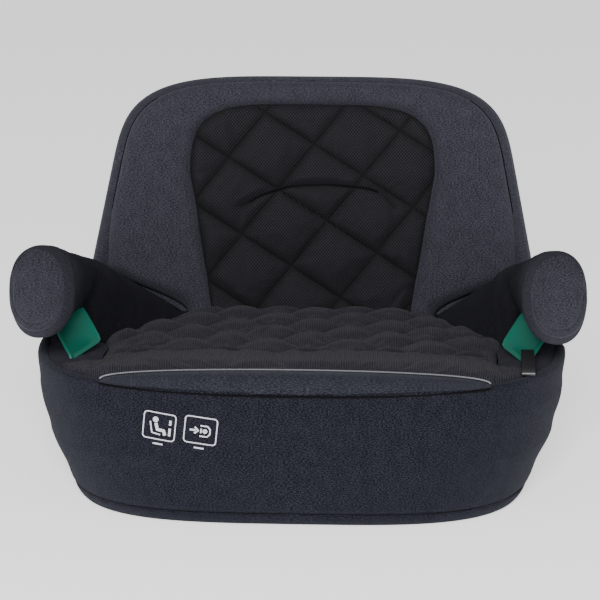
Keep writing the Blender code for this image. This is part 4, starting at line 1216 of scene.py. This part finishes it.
marks = (
    ("seated_mark", (-0.1011, 0.0797), (
        (rounded_square(0.0122, 0.0105, 0.0026), 0.0009),
        (disc(-0.0032, 0.0050, 0.0011), 0.0022),
        ([(-0.0028, 0.0022), (-0.0012, -0.0028), (0.0036, -0.0030), (0.0048, -0.0066)], 0.0024),
        ([(-0.0072, 0.0030), (-0.0052, -0.0058), (0.0012, -0.0066)], 0.0011),
        ([(0.0082, 0.0060), (0.0082, 0.0020)], 0.0018),
        ([(0.0082, -0.0004), (0.0082, -0.0066)], 0.0018),
        ([(-0.0038, -0.0142), (0.0038, -0.0142)], 0.0012),
    )),
    ("buckle_mark", (-0.0696, 0.0781), (
        (rounded_square(0.0122, 0.0105, 0.0026), 0.0009),
        ([(-0.0082, -0.0002), (-0.0036, -0.0002)], 0.0016),
        ([(-0.0046, 0.0024), (-0.0016, -0.0002), (-0.0046, -0.0028)], 0.0013),
        ([(-0.0004, 0.0040), (0.0052, 0.0040), (0.0072, 0.0018), (0.0072, -0.0022), (0.0052, -0.0044),
          (-0.0004, -0.0044)], 0.0011),
        (disc(0.0034, -0.0002, 0.0011), 0.0014),
        ([(0.0004, 0.0016), (0.0004, -0.0020)], 0.0012),
        ([(-0.0038, -0.0142), (0.0038, -0.0142)], 0.0012),
    )),
)
mark_tilt = math.radians(-6.5)
for name, (mark_x, mark_z), strokes in marks:
    def place(a, b):
        return (mark_x + a * math.cos(mark_tilt) - b * math.sin(mark_tilt), -0.24,
                mark_z + a * math.sin(mark_tilt) + b * math.cos(mark_tilt))
    mesh = bpy.data.meshes.new(name)
    shape = bmesh.new()
    for path, width in strokes:
        stroke(shape, path, width, place)
    shape.to_mesh(mesh)
    shape.free()
    mark = bpy.data.objects.new(name, mesh)
    bpy.context.scene.collection.objects.link(mark)
    lay = mark.modifiers.new("lay", "SHRINKWRAP")
    lay.target = apron
    lay.wrap_method = "PROJECT"
    lay.use_project_y = True
    lay.use_positive_direction = True
    lay.offset = 0.00025
    face_front(apply_all(mark))
    sew(mark, "seat", ink, "piping", "front_apron", wall=0.0002, smooth=False)


# ------------------------------------------------------------------ base and fittings
# The moulded polypropylene base, tray and back shell, the steel anchor
# carriage with its latches, and the rubber feet under the base.


def finish(made, *starts):
    """Give CAD pieces their finish by the start of their names."""
    for name, obj in cad.items():
        if name.startswith(starts):
            for place in obj.material_slots:
                place.link = "OBJECT"
                place.material = made


def grained_material(name, dark, pale, scale, roughness, metallic, depth, stretch=(1, 1, 1), coat=0.0):
    """A solid with a grain that varies its colour, roughness and height."""
    made, kit, shader = new_material(name)
    laid = kit.add("ShaderNodeMapping", {"Scale": stretch, 0: kit.add("ShaderNodeTexCoord").outputs["Object"]})
    grain = kit.add("ShaderNodeTexNoise", {"Scale": scale, "Detail": 4.0, "Vector": laid.outputs[0]})
    patch = kit.add("ShaderNodeTexNoise", {"Scale": scale / 18, "Vector": laid.outputs[0]})
    share = kit.sum("ADD", kit.sum("MULTIPLY", grain.outputs[0], 0.5), kit.sum("MULTIPLY", patch.outputs[0], 0.5))
    kit.fill(shader, {
        "Base Color": kit.mix(share, dark, pale),
        "Roughness": kit.sum("ADD", kit.sum("MULTIPLY", patch.outputs[0], 0.25), roughness - 0.12)})
    bump = kit.add("ShaderNodeBump", {"Distance": depth, "Strength": 0.6, "Height": grain.outputs[0]})
    kit.fill(shader, {"Normal": bump.outputs[0], "Metallic": metallic, "Coat Weight": coat})
    return made


polypropylene = plastic_material("black_polypropylene", (0.016, 0.016, 0.018), (0.034, 0.034, 0.038), 0.50)
finish(polypropylene, "base_", "back_shell", "connector_", "lock_guide", "lock_rack", "cover_hook", "adjust_lever")
zinc = grained_material("zinc_plated_steel", (0.42, 0.43, 0.45), (0.66, 0.67, 0.69), 700.0, 0.34, 1.0, 0.00002,
                        stretch=(1, 0.12, 1))
finish(zinc, "anchor_tube", "carriage_bar", "latch_hook", "lock_bolt", "lock_spring", "tray_screw", "armrest_screw",
       "hook_pin", "lever_pin")
finish(grained_material("foot_rubber", (0.012, 0.012, 0.012), (0.028, 0.028, 0.028),
                        1600.0, 0.85, 0.0, 0.00008), "foot_")
finish(plastic_material("signal_red", (0.42, 0.022, 0.016), (0.50, 0.05, 0.035), 0.32, 900.0, 0.00001, 0.3),
       "release_slider")
finish(grained_material("soft_foam", (0.20, 0.20, 0.21), (0.36, 0.36, 0.37), 900.0, 0.95, 0.0, 0.0005),
       "seat_foam", "back_foam")


# The lock spring: a zinc-plated wire coil above the bolt, between the ends of its CAD part.
spring_low, spring_high = (corner[2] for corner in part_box("lock_spring"))
coil_turn = np.linspace(0, math.tau * 5, 160)
coil_route = np.stack([0.0042 * np.cos(coil_turn), -0.055 + 0.0042 * np.sin(coil_turn),
                       np.linspace(spring_low + 0.0007, spring_high - 0.0007, 160)], 1)
spring = cord_piece("lock_spring_coil", coil_route, 0.0007, zinc, "zinc_steel", "lock_spring")
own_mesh(spring)
